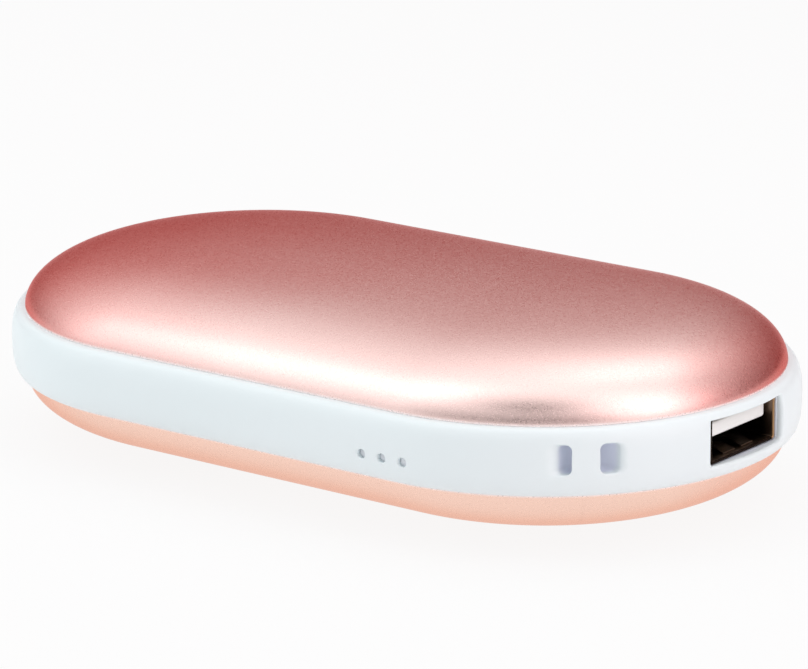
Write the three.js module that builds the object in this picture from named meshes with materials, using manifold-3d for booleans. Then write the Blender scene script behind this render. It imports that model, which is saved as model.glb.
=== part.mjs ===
// Rechargeable hand warmer: a pebble of two rose-gold aluminium covers on a white frame,
// with two lithium cells, a heater film under each cover and a control board inside.
// Millimetres. +X points to the end with the power outlet, -Y to the side with the three lamps,
// +Z up. The origin is on the resting face, under the middle of the pebble.
import * as THREE from 'three';
import { mergeVertices } from 'three/addons/utils/BufferGeometryUtils.js';
import Module from 'manifold-3d';

const wasm = await Module();
wasm.setup();

// Cells, and the room that the case leaves round them
const cellDiameter = 18.4;
const cellLength = 65;
const cellGap = 0.2;
const sideRoom = 12.9;
const rearRoom = 16;
const boardBay = 27;

// Walls and layers, from the outside in
const shellWall = 0.8;
const filmWall = 0.2;
const linerWall = 0.8;
const padWall = 0.8;
const glueGap = 0.1;
const linerGap = 0.2;

// Band of the middle frame
const bandRim = 0.72;
const bandInset = 1.75;
const bandPower = 2.8;
const linerSeat = 0.3;

// Curve of the covers
const domeRun = 19.6;
const domePower = 1.98;
const filmStart = THREE.MathUtils.degToRad(35);

// Clearances and the overrun of every cut
const restFit = 0.1;
const slideFit = 0.15;
const looseFit = 0.3;
const overrun = 1;

// Liner skirts and their snap hooks
const skirtWall = 0.7;
const skirtFit = 0.25;
const hookWidth = 5;
const hookWall = 0.8;
const hookReach = 2.2;
const barbHeight = 0.9;
const barbDepth = 0.35;
const pocketFit = 0.25;

// Control board
const boardThickness = 1.2;
const boardEdge = 0.3;
const armReach = 15.3;
const boardSetback = 1.3;
const featureRise = 0.58;

// Power outlet
const plugWidth = 12.5;
const plugHeight = 5.12;
const socketWall = 0.3;
const socketDepth = 14;
const socketCorner = 0.5;
const socketRecess = 1.6;
const outletShift = -0.8;
const tongueMargin = 0.7;
const tongueHeight = 1.84;
const tongueDrop = 0.64;
const tongueRecess = 0.8;
const housingDepth = 4.2;
const contactWidth = 1.2;
const contactWall = 0.25;
const contactLength = 7.6;
const contactOuter = 3.5;
const contactInner = 1;
const leafLength = 5;
const leafWidth = 1.4;
const leafRise = 0.45;
const leafSpread = 2.9;
const leafSetback = 2.6;

// Charging inlet
const inletWidth = 7.5;
const inletHeight = 2.6;
const inletDepth = 5.4;
const inletWall = 0.3;
const inletForward = 6.25;
const inletRecess = 0.8;
const inletTongueWidth = 3.7;
const inletTongueHeight = 0.65;
const inletTongueRecess = 1.1;
const inletHousing = 1.6;

// Lanyard tunnel behind its bar, on the corner between the lamps and the outlet
const tunnelAngle = THREE.MathUtils.degToRad(-45.1);
const tunnelOffset = 1.15;
const tunnelInner = 2.1;
const tunnelOuter = 4.3;
const tunnelHeight = 3.6;
const tunnelWall = 0.8;

// Lamps and their light guide
const lampPitch = 3;
const lampBack = 0.85;
const lampDrop = 1.13;
const lampHole = 1;
const lampPin = 0.76;
const lampSink = 0.55;
const guideWall = 0.9;
const guideHeight = 1.5;
const guideMargin = 1.1;
const ledLength = 1.6;
const ledWidth = 0.8;
const ledHeight = 0.7;

// Power button and its switch
const buttonLength = 10;
const buttonHeight = 3.4;
const buttonBack = 5.75;
const buttonSink = 0.2;
const buttonTravel = 0.4;
const flangeLength = 12.6;
const flangeHeight = 3;
const flangeWall = 0.8;
const stemWidth = 3;
const stemHeight = 1.6;
const stemLength = 0.7;
const switchWidth = 6;
const switchDepth = 3.8;
const plungerWidth = 2;
const plungerHeight = 1.5;
const plungerProud = 0.95;
const plungerRoot = 0.8;

// Saddles that hold the cells
const saddleWall = 2.4;
const saddleRoom = 8;
const saddleTop = 0.2;
const valleyDrop = 3.5;
const earWall = 1.6;
const earWidth = 6;
const bossDiameter = 5;
const bossSink = 0.15;
const pilotDiameter = 2.1;

// Screws
const screwDiameter = 1.9;
const screwHole = 2.3;
const screwHead = 3.6;
const screwHeadHeight = 1.2;
const screwDepth = 2.6;
const recessDiameter = 1.4;
const recessDepth = 0.6;

// Cell terminals, strips and leads
const terminalDiameter = 8;
const terminalHeight = 0.5;
const cellEdge = 0.6;
const stripWall = 0.3;
const stripWidth = 25;
const stripHeight = 8;
const leadDiameter = 1.4;
const leadRise = 6.4;
const leadSpread = 7;
const leadStep = 3;
const filmLeadSpread = 2.2;
const filmLeadStep = 5.5;
const leadHole = 2.4;

// Parts on the board: length, width and height of each
const inductorSize = [6, 6, 3.2];
const inductorEdge = 0.8;
const boostSize = [5, 4, 1];
const chargerSize = [4, 4, 0.9];
const capacitorSize = [3.2, 1.6, 1.6];
const thermistorSize = [1.6, 0.8, 0.6];
const partSpacing = 3;
const boardBossAngle = THREE.MathUtils.degToRad(57);
const boardBossDiameter = 5;
const boardBossHeight = 3.2;
const boardBossInset = 3.6;
const webWall = 1.6;

// Facet counts
const endSteps = 16;
const domeSteps = 6;
const bandSteps = 6;
const roundSteps = 20;
const smallSteps = 10;
const cornerSteps = 3;

// Envelope, worked out from the cells and the layers over them
const lanes = cellDiameter + cellGap / 2;
const halfWidth = lanes + sideRoom;
const halfLength = (rearRoom + cellLength + boardBay) / 2;
const coverLayers = shellWall + glueGap + filmWall + linerGap + linerWall + padWall + restFit;
const halfHeight = cellDiameter / 2 + coverLayers;

// Band, high enough for the outlet; the skirts of the liners end clear of the board
const socketHeight = plugHeight + 2 * socketWall;
const boardTop = featureRise - socketHeight / 2;
const boardBottom = boardTop - boardThickness;
const halfBand = featureRise + socketHeight / 2 + bandRim;
const skirtEnd = restFit - boardBottom;
const straight = halfLength - halfWidth;
const wallInset = bandInset + shellWall + linerSeat + linerGap + glueGap;
const innerWall = halfWidth - wallInset;

// Depths of the layers below the cover's outer face
const filmDepth = shellWall + glueGap;
const linerDepth = filmDepth + filmWall + linerGap;
const cavityDepth = linerDepth + linerWall;

// Places along the length
const cellRear = rearRoom - halfLength;
const cellFront = cellRear + cellLength;
const cellAxis = (cellDiameter + cellGap) / 2;
const boardBack = cellFront + boardSetback;
const armBack = boardBack - armReach;
const rearSaddleX = saddleWall - straight;
const frontSaddleX = armBack - saddleRoom;
const bossY = innerWall + bossSink - bossDiameter / 2;

const leadX = boardBack + leadStep;
const filmLeadX = boardBack + filmLeadStep;

const group = new THREE.Group();
const body = new THREE.Group();
body.position.z = halfHeight;
group.add(body);

// Finishes
function finish(color, roughness, metalness) {
  return new THREE.MeshStandardMaterial({ color, roughness, metalness });
}

const roseGold = finish(0xd79c94, 0.34, 0.9);
const peachGold = finish(0xe3aa98, 0.34, 0.9);
const whitePlastic = finish(0xeaf0f6, 0.38, 0);
const linerPlastic = finish(0xd8dade, 0.6, 0);
const amberFilm = finish(0xb5702a, 0.4, 0.1);
const greyFoam = finish(0x54565a, 0.95, 0);
const cellWrap = finish(0x3f7fb5, 0.45, 0);
const nickel = finish(0xb9b6ad, 0.35, 1);
const steel = finish(0xc4c6c8, 0.3, 1);
const boardGreen = finish(0x1f6a45, 0.5, 0);
const blackPlastic = finish(0x1c1c1e, 0.5, 0);
const tonguePlastic = finish(0xece9e4, 0.45, 0);
const gold = finish(0xd0a74c, 0.3, 1);
const clearGuide = finish(0x9aa3ac, 0.2, 0);
const lampYellow = finish(0xf0e4b0, 0.3, 0);
const ceramic = finish(0xa98f70, 0.6, 0);
const redWire = finish(0xb02a26, 0.5, 0);
const blackWire = finish(0x222225, 0.5, 0);

function add(name, geometry, material) {
  const mesh = new THREE.Mesh(geometry, material);
  mesh.name = name;
  body.add(mesh);
  return mesh;
}

// Solid from a closed geometry, and back again
function solid(geometry) {
  const bare = geometry.clone();
  bare.deleteAttribute('normal');
  bare.deleteAttribute('uv');
  const merged = mergeVertices(bare);
  const vertProperties = Float32Array.from(merged.attributes.position.array);
  const triVerts = Uint32Array.from(merged.index.array);
  return new wasm.Manifold(new wasm.Mesh({ numProp: 3, vertProperties, triVerts }));
}

function surface(manifold) {
  const mesh = manifold.getMesh();
  const geometry = new THREE.BufferGeometry();
  geometry.setAttribute('position', new THREE.BufferAttribute(Float32Array.from(mesh.vertProperties), 3));
  geometry.setIndex(Array.from(mesh.triVerts));
  return geometry;
}

function joined(first, ...others) {
  return others.reduce((whole, other) => whole.add(other), first);
}

function cut(first, ...tools) {
  return tools.reduce((whole, tool) => whole.subtract(tool), first);
}

// Outline of the pebble drawn in by an inset: two straight sides and two half circles
function outline(inset) {
  const radius = halfWidth - inset;
  const points = [];
  for (const side of [1, -1]) {
    for (let step = 0; step <= endSteps; step++) {
      const angle = (step / endSteps - 0.5) * Math.PI;
      points.push([side * (straight + radius * Math.cos(angle)), side * radius * Math.sin(angle)]);
    }
  }
  return points;
}

// Closed body through a stack of outlines, each an [inset, height] pair. It runs up the outside
// and down the inside; a ring joins its last outline to its first, and other bodies are capped.
function loft(profile, ring = false, flip = false) {
  const positions = [];
  const triangles = [];
  const turn = flip ? -1 : 1;
  const face = (a, b, c) => triangles.push(...(flip ? [a, c, b] : [a, b, c]));
  for (const [inset, z] of profile) {
    for (const [x, y] of outline(inset)) positions.push(x, y, turn * z);
  }
  const count = outline(0).length;
  const bands = ring ? profile.length : profile.length - 1;
  for (let row = 0; row < bands; row++) {
    const low = row * count;
    const high = ((row + 1) % profile.length) * count;
    for (let i = 0; i < count; i++) {
      const next = (i + 1) % count;
      face(low + i, low + next, high + next);
      face(low + i, high + next, high + i);
    }
  }
  if (!ring) {
    const last = (profile.length - 1) * count;
    for (let i = 0; i < endSteps; i++) {
      const far = count - 1 - i;
      face(i + 1, i, far);
      face(i + 1, far, far - 1);
      face(last + i, last + i + 1, last + far);
      face(last + i + 1, last + far - 1, last + far);
    }
  }
  const geometry = new THREE.BufferGeometry();
  geometry.setAttribute('position', new THREE.Float32BufferAttribute(positions, 3));
  geometry.setIndex(triangles);
  return geometry;
}

const prism = (inset, low, high) => loft([[inset, low], [inset, high]]);

// Layer of a cover at a depth below its outer face, from the seam up to the flat crown
function domeLayer(depth, start = 0) {
  const rise = halfHeight - halfBand;
  const curve = (angle) => [
    bandInset + domeRun * (1 - Math.cos(angle) ** (2 / domePower)),
    halfBand + rise * Math.sin(angle) ** (2 / domePower),
  ];
  const nudge = 1 / 4096;
  const layer = [];
  for (let step = 0; step <= domeSteps; step++) {
    const angle = start + (Math.PI / 2 - start) * (step / domeSteps);
    const [inset, z] = curve(angle);
    const [insetBefore, zBefore] = curve(Math.max(angle - nudge, 0));
    const [insetAfter, zAfter] = curve(Math.min(angle + nudge, Math.PI / 2));
    const normal = new THREE.Vector2(zAfter - zBefore, insetBefore - insetAfter).normalize();
    if (angle === 0) normal.set(1, 0);
    if (step === domeSteps) normal.set(0, -1);
    layer.push([inset + depth * normal.x, z + depth * normal.y]);
  }
  return layer;
}

// Extruded outline whose first axis points along outward, its second up and its depth sideways
function extrude(shape, depth, origin, outward, steps = cornerSteps) {
  const geometry = new THREE.ExtrudeGeometry(shape, { depth, bevelEnabled: false, curveSegments: steps });
  const up = new THREE.Vector3(0, 0, 1);
  const away = outward.clone().normalize();
  const basis = new THREE.Matrix4().makeBasis(away, up, away.clone().cross(up)).setPosition(origin);
  return geometry.translate(0, 0, -depth / 2).applyMatrix4(basis);
}

// Rounded rectangle, centred, for openings, sockets and pills
function roundRect(wide, tall, radius) {
  const x = wide / 2;
  const y = tall / 2;
  const r = Math.min(radius, x, y);
  const shape = new THREE.Shape();
  shape.absarc(x - r, y - r, r, 0, Math.PI / 2);
  shape.absarc(r - x, y - r, r, Math.PI / 2, Math.PI);
  shape.absarc(r - x, r - y, r, Math.PI, Math.PI * 1.5);
  shape.absarc(x - r, r - y, r, Math.PI * 1.5, Math.PI * 2);
  return shape;
}

// Bar of a given section running out along a direction: from one distance to another
function bar(shape, from, to, sideways, height, outward) {
  const geometry = new THREE.ExtrudeGeometry(shape, {
    depth: to - from, bevelEnabled: false, curveSegments: cornerSteps,
  });
  const up = new THREE.Vector3(0, 0, 1);
  const side = up.clone().cross(outward);
  const origin = outward.clone().multiplyScalar(from).addScaledVector(side, sideways).setZ(height);
  const basis = new THREE.Matrix4().makeBasis(side, up, outward).setPosition(origin);
  return geometry.applyMatrix4(basis);
}

function box(low, high) {
  const size = high.map((value, axis) => value - low[axis]);
  const middle = high.map((value, axis) => (value + low[axis]) / 2);
  return new THREE.BoxGeometry(...size).translate(...middle);
}

// Upright cylinder between two heights
function post(diameter, low, high, x, y, steps = smallSteps) {
  const geometry = new THREE.CylinderGeometry(diameter / 2, diameter / 2, high - low, steps);
  return geometry.rotateX(Math.PI / 2).translate(x, y, (low + high) / 2);
}

const outX = new THREE.Vector3(1, 0, 0);
const outY = new THREE.Vector3(0, 1, 0);
const backY = new THREE.Vector3(0, -1, 0);

// Covers: a bowl of even wall, its rim standing on the band's ledge
function cover(flip) {
  return loft([...domeLayer(shellWall).reverse(), ...domeLayer(0)], false, flip);
}

// Heater film, curved to lie against the cover's inner face
function heater(flip) {
  const under = domeLayer(filmDepth + filmWall, filmStart);
  const over = domeLayer(filmDepth, filmStart);
  return loft([...under.reverse(), ...over], false, flip);
}

// Places of the snap hooks: middle of each hook's foot on the inner wall, and its way out
function hookPlaces() {
  const x = (rearSaddleX + frontSaddleX) / 2;
  return [
    { at: new THREE.Vector3(x, innerWall, 0), out: outY },
    { at: new THREE.Vector3(x, -innerWall, 0), out: backY },
    { at: new THREE.Vector3(wallInset - halfLength, 0, 0), out: outX.clone().negate() },
  ];
}

// One hook: a leaf that goes down inside the frame's wall, with a barb at its tip
function hook({ at, out }, turn) {
  const root = turn * (skirtEnd + halfBand) / 2;
  const tip = turn * (skirtEnd - hookReach);
  const barb = tip + turn * barbHeight;
  const shape = new THREE.Shape([
    new THREE.Vector2(-skirtFit - hookWall, root),
    new THREE.Vector2(-skirtFit - hookWall, tip),
    new THREE.Vector2(-skirtFit, tip),
    new THREE.Vector2(barbDepth - skirtFit, barb),
    new THREE.Vector2(-skirtFit, barb),
    new THREE.Vector2(-skirtFit, root),
  ]);
  return extrude(shape, hookWidth, at, out);
}

// Pocket in the frame's wall that the barb springs into
function pocket({ at, out }, turn) {
  const ends = [skirtEnd - hookReach - pocketFit, skirtEnd - hookReach + barbHeight + pocketFit];
  const shape = new THREE.Shape([
    new THREE.Vector2(-overrun, turn * ends[0]),
    new THREE.Vector2(barbDepth + pocketFit, turn * ends[0]),
    new THREE.Vector2(barbDepth + pocketFit, turn * ends[1]),
    new THREE.Vector2(-overrun, turn * ends[1]),
  ]);
  return extrude(shape, hookWidth + 2 * pocketFit, at, out);
}

// Plastic liner under each cover: it carries the film and plugs into the frame
function liner(flip) {
  const inner = domeLayer(cavityDepth).filter(([inset]) => inset > wallInset + skirtFit + skirtWall);
  const skirt = wallInset + skirtFit;
  const profile = [
    ...inner.reverse(),
    [skirt + skirtWall, halfBand],
    [skirt + skirtWall, skirtEnd],
    [skirt, skirtEnd],
    [skirt, halfBand + restFit],
    [bandInset + linerDepth, halfBand + restFit],
    ...domeLayer(linerDepth).slice(1),
  ];
  const turn = flip ? -1 : 1;
  const hooks = hookPlaces().map((place) => solid(hook(place, turn)));
  const holes = [filmLeadSpread, -filmLeadSpread].map((y) =>
    solid(post(leadHole, turn > 0 ? 0 : -halfHeight, turn > 0 ? halfHeight : 0, filmLeadX, y)));
  return surface(cut(joined(solid(loft(profile, false, flip)), ...hooks), ...holes));
}

// White frame: the band with its curved face, its ledges, bosses and openings
function frame() {
  const profile = [];
  for (let step = -bandSteps; step <= bandSteps; step++) {
    const share = Math.sin((step / bandSteps) * (Math.PI / 2));
    const round = (1 - Math.abs(share) ** bandPower) ** (1 / bandPower);
    profile.push([bandInset * (1 - round), halfBand * share]);
  }
  profile.push([wallInset, halfBand], [wallInset, -halfBand]);
  const band = solid(loft(profile, true));

  // Bosses under the saddles' ears, and over the board
  const bossFoot = restFit - skirtEnd;
  const bosses = [];
  const pilots = [];
  for (const x of [rearSaddleX, frontSaddleX]) {
    for (const y of [bossY, -bossY]) {
      bosses.push(solid(post(bossDiameter, bossFoot, -saddleTop, x, y)));
      pilots.push(solid(post(pilotDiameter, bossFoot + earWall / 4, overrun, x, y)));
    }
  }
  for (const [x, y] of boardBosses()) {
    const out = new THREE.Vector3(x - straight, y, 0).normalize();
    const section = roundRect(webWall, boardBossHeight, webWall / 8);
    const root = innerWall + bossSink;
    const web = bar(section, innerWall - boardBossInset, root, 0, boardTop + boardBossHeight / 2, out);
    bosses.push(solid(post(boardBossDiameter, boardTop, boardTop + boardBossHeight, x, y)));
    bosses.push(solid(web.translate(straight, 0, 0)));
    pilots.push(solid(post(pilotDiameter, boardTop - overrun, boardTop + screwDepth, x, y)));
  }

  // Lanyard tunnel: an arc that enters the band, passes behind the bar and comes out again
  const reach = halfWidth + tunnelOffset;
  const tunnelX = straight + reach * Math.cos(tunnelAngle);
  const tunnelY = reach * Math.sin(tunnelAngle);
  const ends = [featureRise - tunnelHeight / 2, featureRise + tunnelHeight / 2];
  const round = (radius, grow) =>
    solid(post(2 * radius, ends[0] - grow, ends[1] + grow, tunnelX, tunnelY, roundSteps));
  const backing = round(tunnelOuter + tunnelWall, tunnelWall)
    .intersect(solid(prism(wallInset - tunnelWall, -halfBand, halfBand)));
  const tunnel = cut(round(tunnelOuter, 0), round(tunnelInner, overrun));

  // Openings for the outlet, the inlet, the button and the lamps
  const socketWide = plugWidth + 2 * (socketWall + slideFit);
  const socket = roundRect(socketWide, socketHeight + 2 * slideFit, socketCorner);
  const socketReach = Math.abs(outletShift) + socketWide / 2;
  const socketStart = straight + Math.sqrt(innerWall ** 2 - socketReach ** 2);
  const inlet = roundRect(inletWidth + 2 * slideFit, inletHeight + 2 * slideFit, inletHeight / 3);
  const button = roundRect(buttonLength + 2 * slideFit, buttonHeight + 2 * slideFit, buttonHeight);
  const lamp = roundRect(lampHole, lampHole, lampHole);
  const outer = halfWidth + overrun;
  const openings = [
    bar(socket, socketStart - overrun, halfLength + overrun, outletShift, featureRise, outX),
    inletBar(inlet, inletBack - overrun, outer),
    buttonBar(button, innerWall - overrun, outer),
    ...lampPlaces.map((x) => bar(lamp, innerWall - overrun, outer, x, -lampDrop, backY)),
  ].map(solid);
  const pockets = hookPlaces().flatMap((place) => [1, -1].map((turn) => solid(pocket(place, turn))));
  return surface(cut(joined(band, ...bosses, backing), tunnel, ...pilots, ...openings, ...pockets));
}

// Places of the two bosses that the board hangs from
function boardBosses() {
  const reach = innerWall - boardBossInset;
  return [1, -1].map((side) => [
    straight + reach * Math.cos(boardBossAngle),
    side * reach * Math.sin(boardBossAngle),
  ]);
}

const lampPlaces = [-1, 0, 1].map((step) => straight - lampBack + step * lampPitch);
const inletAngle = Math.PI / 2 - inletForward / halfWidth;
const inletMouth = halfWidth - inletRecess;
const inletBack = inletMouth - inletDepth;
const switchHeight = buttonHeight + 2 * restFit;
const switchFront = innerWall - restFit - flangeWall - stemLength - restFit - plungerProud;

// Bar square to the band at the charging inlet
function inletBar(shape, from, to) {
  const out = new THREE.Vector3(Math.cos(inletAngle), Math.sin(inletAngle), 0);
  return bar(shape, from, to, 0, boardTop + inletHeight / 2, out).translate(straight, 0, 0);
}

// Bar square to the side that carries the button, on the button's axis
function buttonBar(shape, from, to) {
  return bar(shape, from, to, buttonBack - straight, boardTop + switchHeight / 2, outY);
}

// Control board: it fills the front end and reaches back along both sides of the cells
function board() {
  const plate = solid(prism(wallInset + boardEdge, boardBottom, boardTop));
  const low = boardBottom - overrun;
  const high = boardTop + overrun;
  const behind = box([-halfLength - overrun, -halfWidth, low], [armBack, halfWidth, high]);
  const lane = lanes + cellGap + looseFit + boardEdge;
  const bay = box([armBack - overrun, -lane, low], [boardBack, lane, high]);
  const holes = boardBosses().map(([x, y]) => solid(post(screwHole, low, high, x, y)));
  return surface(cut(plate, solid(behind), solid(bay), ...holes));
}

// Saddle: a plate with two scallops for the cells and an ear on each boss
function saddle(x) {
  const scallop = cellDiameter / 2 + slideFit;
  const earLimit = bossY - bossDiameter / 2 - looseFit;
  const place = ([inset, z]) => new THREE.Vector2(halfWidth - inset, -z);
  const lower = domeLayer(cavityDepth + restFit).map(place);
  const under = lower.filter((point) => point.x < earLimit);
  const above = lower[lower.length - under.length - 1];
  const share = (above.x - earLimit) / (above.x - under[0].x);
  const corner = new THREE.Vector2(earLimit, above.y + (under[0].y - above.y) * share);
  const topAngle = Math.asin(saddleTop / scallop);
  const valleyAngle = Math.asin(valleyDrop / scallop);
  const half = [corner, ...under].reverse();
  const shape = new THREE.Shape();
  shape.moveTo(-half[half.length - 1].x, half[half.length - 1].y);
  for (const point of [...half].reverse().slice(1)) shape.lineTo(-point.x, point.y);
  for (const point of half) shape.lineTo(point.x, point.y);
  shape.lineTo(earLimit, -saddleTop);
  shape.absarc(cellAxis, 0, scallop, -topAngle, -Math.PI + valleyAngle, true);
  shape.absarc(-cellAxis, 0, scallop, -valleyAngle, -Math.PI + topAngle, true);
  shape.lineTo(-earLimit, -saddleTop);
  const plate = extrude(shape, saddleWall, new THREE.Vector3(x, 0, 0), outY, roundSteps / 2);
  const earStart = lanes + looseFit;
  const earEnd = innerWall - looseFit;
  const parts = [];
  const holes = [];
  for (const side of [1, -1]) {
    const ends = [side * earStart, side * earEnd].sort((a, b) => a - b);
    const low = [x - earWidth / 2, ends[0], -saddleTop];
    parts.push(solid(box(low, [x + earWidth / 2, ends[1], earWall - saddleTop])));
    holes.push(solid(post(screwHole, -saddleTop - overrun, earWall + overrun, x, side * bossY)));
  }
  return surface(cut(joined(solid(plate), ...parts), ...holes));
}

// Pan-head screw with a round recess, its shank pointing down (or up, when turned over)
function screw(x, y, z, turn) {
  const head = screwHead / 2;
  const shank = screwDiameter / 2;
  const recess = recessDiameter / 2;
  const points = [
    [0, -screwDepth], [shank * 0.5, -screwDepth], [shank, -screwDepth + shank], [shank, 0], [head, 0],
    [head, screwHeadHeight / 2], [head * 0.8, screwHeadHeight], [recess, screwHeadHeight],
    [recess, screwHeadHeight - recessDepth], [0, screwHeadHeight - recessDepth],
  ].map(([r, h]) => new THREE.Vector2(r, h));
  const geometry = new THREE.LatheGeometry(points, smallSteps);
  return geometry.rotateX((turn * Math.PI) / 2).translate(x, y, z);
}

// Cell: a wrapped can with its raised terminal at the front
function cell(side) {
  const radius = cellDiameter / 2;
  const can = cellLength - terminalHeight;
  const points = [
    [0, 0], [radius - cellEdge, 0], [radius, cellEdge], [radius, can - cellEdge], [radius - cellEdge, can],
    [terminalDiameter / 2, can], [terminalDiameter / 2, cellLength], [0, cellLength],
  ].map(([r, h]) => new THREE.Vector2(r, h));
  const geometry = new THREE.LatheGeometry(points, roundSteps);
  return geometry.rotateZ(-Math.PI / 2).translate(cellRear, side * cellAxis, 0);
}

// Round lead along a smooth route through chosen points
function lead(points, steps) {
  const places = points.map((point) => new THREE.Vector3(...point));
  const route = new THREE.CatmullRomCurve3(places, false, 'centripetal');
  const section = new THREE.Shape();
  for (let i = 0; i < 8; i++) {
    const angle = (i * Math.PI) / 4;
    const place = [leadDiameter / 2 * Math.cos(angle), leadDiameter / 2 * Math.sin(angle)];
    if (i === 0) section.moveTo(...place);
    else section.lineTo(...place);
  }
  return new THREE.ExtrudeGeometry(section, { steps, extrudePath: route, bevelEnabled: false });
}

// Block standing on the board
function boardPart([long, wide, tall], x, y, edge = 0) {
  const geometry = new THREE.ExtrudeGeometry(roundRect(long, wide, edge || capacitorSize[1] / 8), {
    depth: tall, bevelEnabled: false, curveSegments: 2,
  });
  return geometry.translate(x, y, boardTop);
}

// Outlet: a steel shield with two leaf springs, open at its mouth
function outletShield() {
  const mouth = halfLength - socketRecess;
  const outer = roundRect(plugWidth + 2 * socketWall, socketHeight, socketCorner);
  const inner = roundRect(plugWidth, plugHeight, socketCorner - socketWall);
  const tube = cut(
    solid(bar(outer, mouth - socketDepth, mouth, outletShift, featureRise, outX)),
    solid(bar(inner, mouth - socketDepth - overrun, mouth + overrun, outletShift, featureRise, outX)),
  );
  const floor = featureRise - plugHeight / 2;
  const tip = -leafSetback;
  const leaf = new THREE.Shape([
    new THREE.Vector2(tip - leafLength, floor - socketWall / 2),
    new THREE.Vector2(tip, floor - socketWall / 2),
    new THREE.Vector2(tip - leafLength / 5, floor + leafRise),
    new THREE.Vector2(tip - leafLength / 3, floor + leafRise),
  ]);
  const leaves = [leafSpread, -leafSpread].map((y) =>
    solid(extrude(leaf, leafWidth, new THREE.Vector3(mouth, outletShift + y, 0), outX)));
  return surface(joined(tube, ...leaves));
}

// Moulded block at the back of the outlet, with the tongue that carries the contacts
const tongueTop = featureRise + plugHeight / 2 - tongueDrop;
const tongueBottom = tongueTop - tongueHeight;
const outletBack = halfLength - socketRecess - socketDepth;

function outletHousing() {
  const block = roundRect(plugWidth - 2 * restFit, plugHeight - 2 * restFit, socketCorner - socketWall);
  const tongue = roundRect(plugWidth - 2 * tongueMargin, tongueHeight, tongueHeight / 4);
  const end = halfLength - socketRecess - tongueRecess;
  const middle = (tongueTop + tongueBottom) / 2;
  return surface(joined(
    solid(bar(block, outletBack + restFit, outletBack + housingDepth, outletShift, featureRise, outX)),
    solid(bar(tongue, outletBack + housingDepth / 2, end, outletShift, middle, outX)),
  ));
}

// Inlet: a steel shield and, inside it, a block with a thin tongue
function inletShield() {
  const corner = inletHeight / 3;
  const outer = roundRect(inletWidth, inletHeight, corner);
  const inner = roundRect(inletWidth - 2 * inletWall, inletHeight - 2 * inletWall, corner - inletWall);
  return surface(cut(
    solid(inletBar(outer, inletBack, inletMouth)),
    solid(inletBar(inner, inletBack - overrun, inletMouth + overrun)),
  ));
}

function inletTongue() {
  const back = inletBack + restFit;
  const inner = 2 * (inletWall + restFit);
  const block = roundRect(inletWidth - inner, inletHeight - inner, inletHeight / 3 - inner / 2);
  const tongue = roundRect(inletTongueWidth, inletTongueHeight, inletTongueHeight / 4);
  return surface(joined(
    solid(inletBar(block, back, back + inletHousing)),
    solid(inletBar(tongue, back + inletHousing / 2, inletMouth - inletTongueRecess)),
  ));
}

// Light guide: a clear rail on the board with a pin into each lamp hole. Its front end stands where
// the wall already curves in, so its face is set back to clear the wall there.
const guideReach = Math.max(lampPlaces[2] + guideMargin - straight, 0);
const guideFace = Math.sqrt(innerWall ** 2 - guideReach ** 2) - boardEdge;

function lightGuide() {
  const rail = box(
    [lampPlaces[0] - guideMargin, -guideFace, boardTop + restFit],
    [lampPlaces[2] + guideMargin, guideWall - guideFace, boardTop + restFit + guideHeight],
  );
  const pin = roundRect(lampPin, lampPin, lampPin);
  const root = guideFace - guideWall / 2;
  const pins = lampPlaces.map((x) => bar(pin, root, halfWidth - lampSink, x, -lampDrop, backY));
  return surface(joined(solid(rail), ...pins.map(solid)));
}

// Button: a pill in the band, with side flanges that keep it in and a stem on the plunger
function buttonCap() {
  const back = innerWall - restFit - flangeWall;
  const edge = stemHeight / 4;
  const pill = roundRect(buttonLength, buttonHeight, buttonHeight);
  const flange = roundRect(flangeLength, flangeHeight, edge);
  const stem = roundRect(stemWidth, stemHeight, edge);
  return surface(joined(
    solid(buttonBar(pill, back + flangeWall - restFit, halfWidth - buttonSink)),
    solid(buttonBar(flange, back, back + flangeWall)),
    solid(buttonBar(stem, back - stemLength, back + flangeWall / 2)),
  ));
}

function switchBody() {
  const well = plungerRoot + buttonTravel + looseFit;
  const shape = roundRect(switchWidth, switchHeight, stemHeight / 8);
  const hole = roundRect(plungerWidth + 2 * slideFit, plungerHeight + 2 * slideFit, stemHeight / 8);
  return surface(cut(
    solid(buttonBar(shape, switchFront - switchDepth, switchFront)),
    solid(buttonBar(hole, switchFront - well, switchFront + overrun)),
  ));
}

// Covers, liners, films and pads, each pair turned over for the lower side
for (const [side, flip, metal] of [['upper', false, roseGold], ['lower', true, peachGold]]) {
  const turn = flip ? -1 : 1;
  add(`${side}_shell`, cover(flip), metal);
  add(`${side}_liner`, liner(flip), linerPlastic);
  add(`${side}_heater_film`, heater(flip), amberFilm);
  const heights = [turn * (cellDiameter / 2 + restFit), turn * (cellDiameter / 2 + padWall - restFit)];
  heights.sort((a, b) => a - b);
  const padEnds = [rearSaddleX + saddleWall / 2 + looseFit, frontSaddleX - saddleWall / 2 - looseFit];
  const padWide = cellAxis + cellDiameter / 10;
  add(`${side}_pad`, box([padEnds[0], -padWide, heights[0]], [padEnds[1], padWide, heights[1]]), greyFoam);
}
add('middle_frame', frame(), whitePlastic);

// Cells in their saddles, with their strips
add('cell_1', cell(1), cellWrap);
add('cell_2', cell(-1), cellWrap);
const stripEnds = [
  ['positive_strip', cellFront + restFit],
  ['negative_strip', cellRear - restFit - stripWall],
];
for (const [name, x] of stripEnds) {
  const low = [x, -stripWidth / 2, -stripHeight / 2];
  add(name, box(low, [x + stripWall, stripWidth / 2, stripHeight / 2]), nickel);
}
const saddles = [['rear', rearSaddleX], ['front', frontSaddleX]];
saddles.forEach(([name, x], index) => {
  add(`${name}_saddle`, saddle(x), linerPlastic);
  [1, -1].forEach((side, place) => {
    const z = earWall - saddleTop;
    add(`saddle_screw_${2 * index + place + 1}`, screw(x, side * bossY, z + restFit, 1), steel);
  });
});

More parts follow.
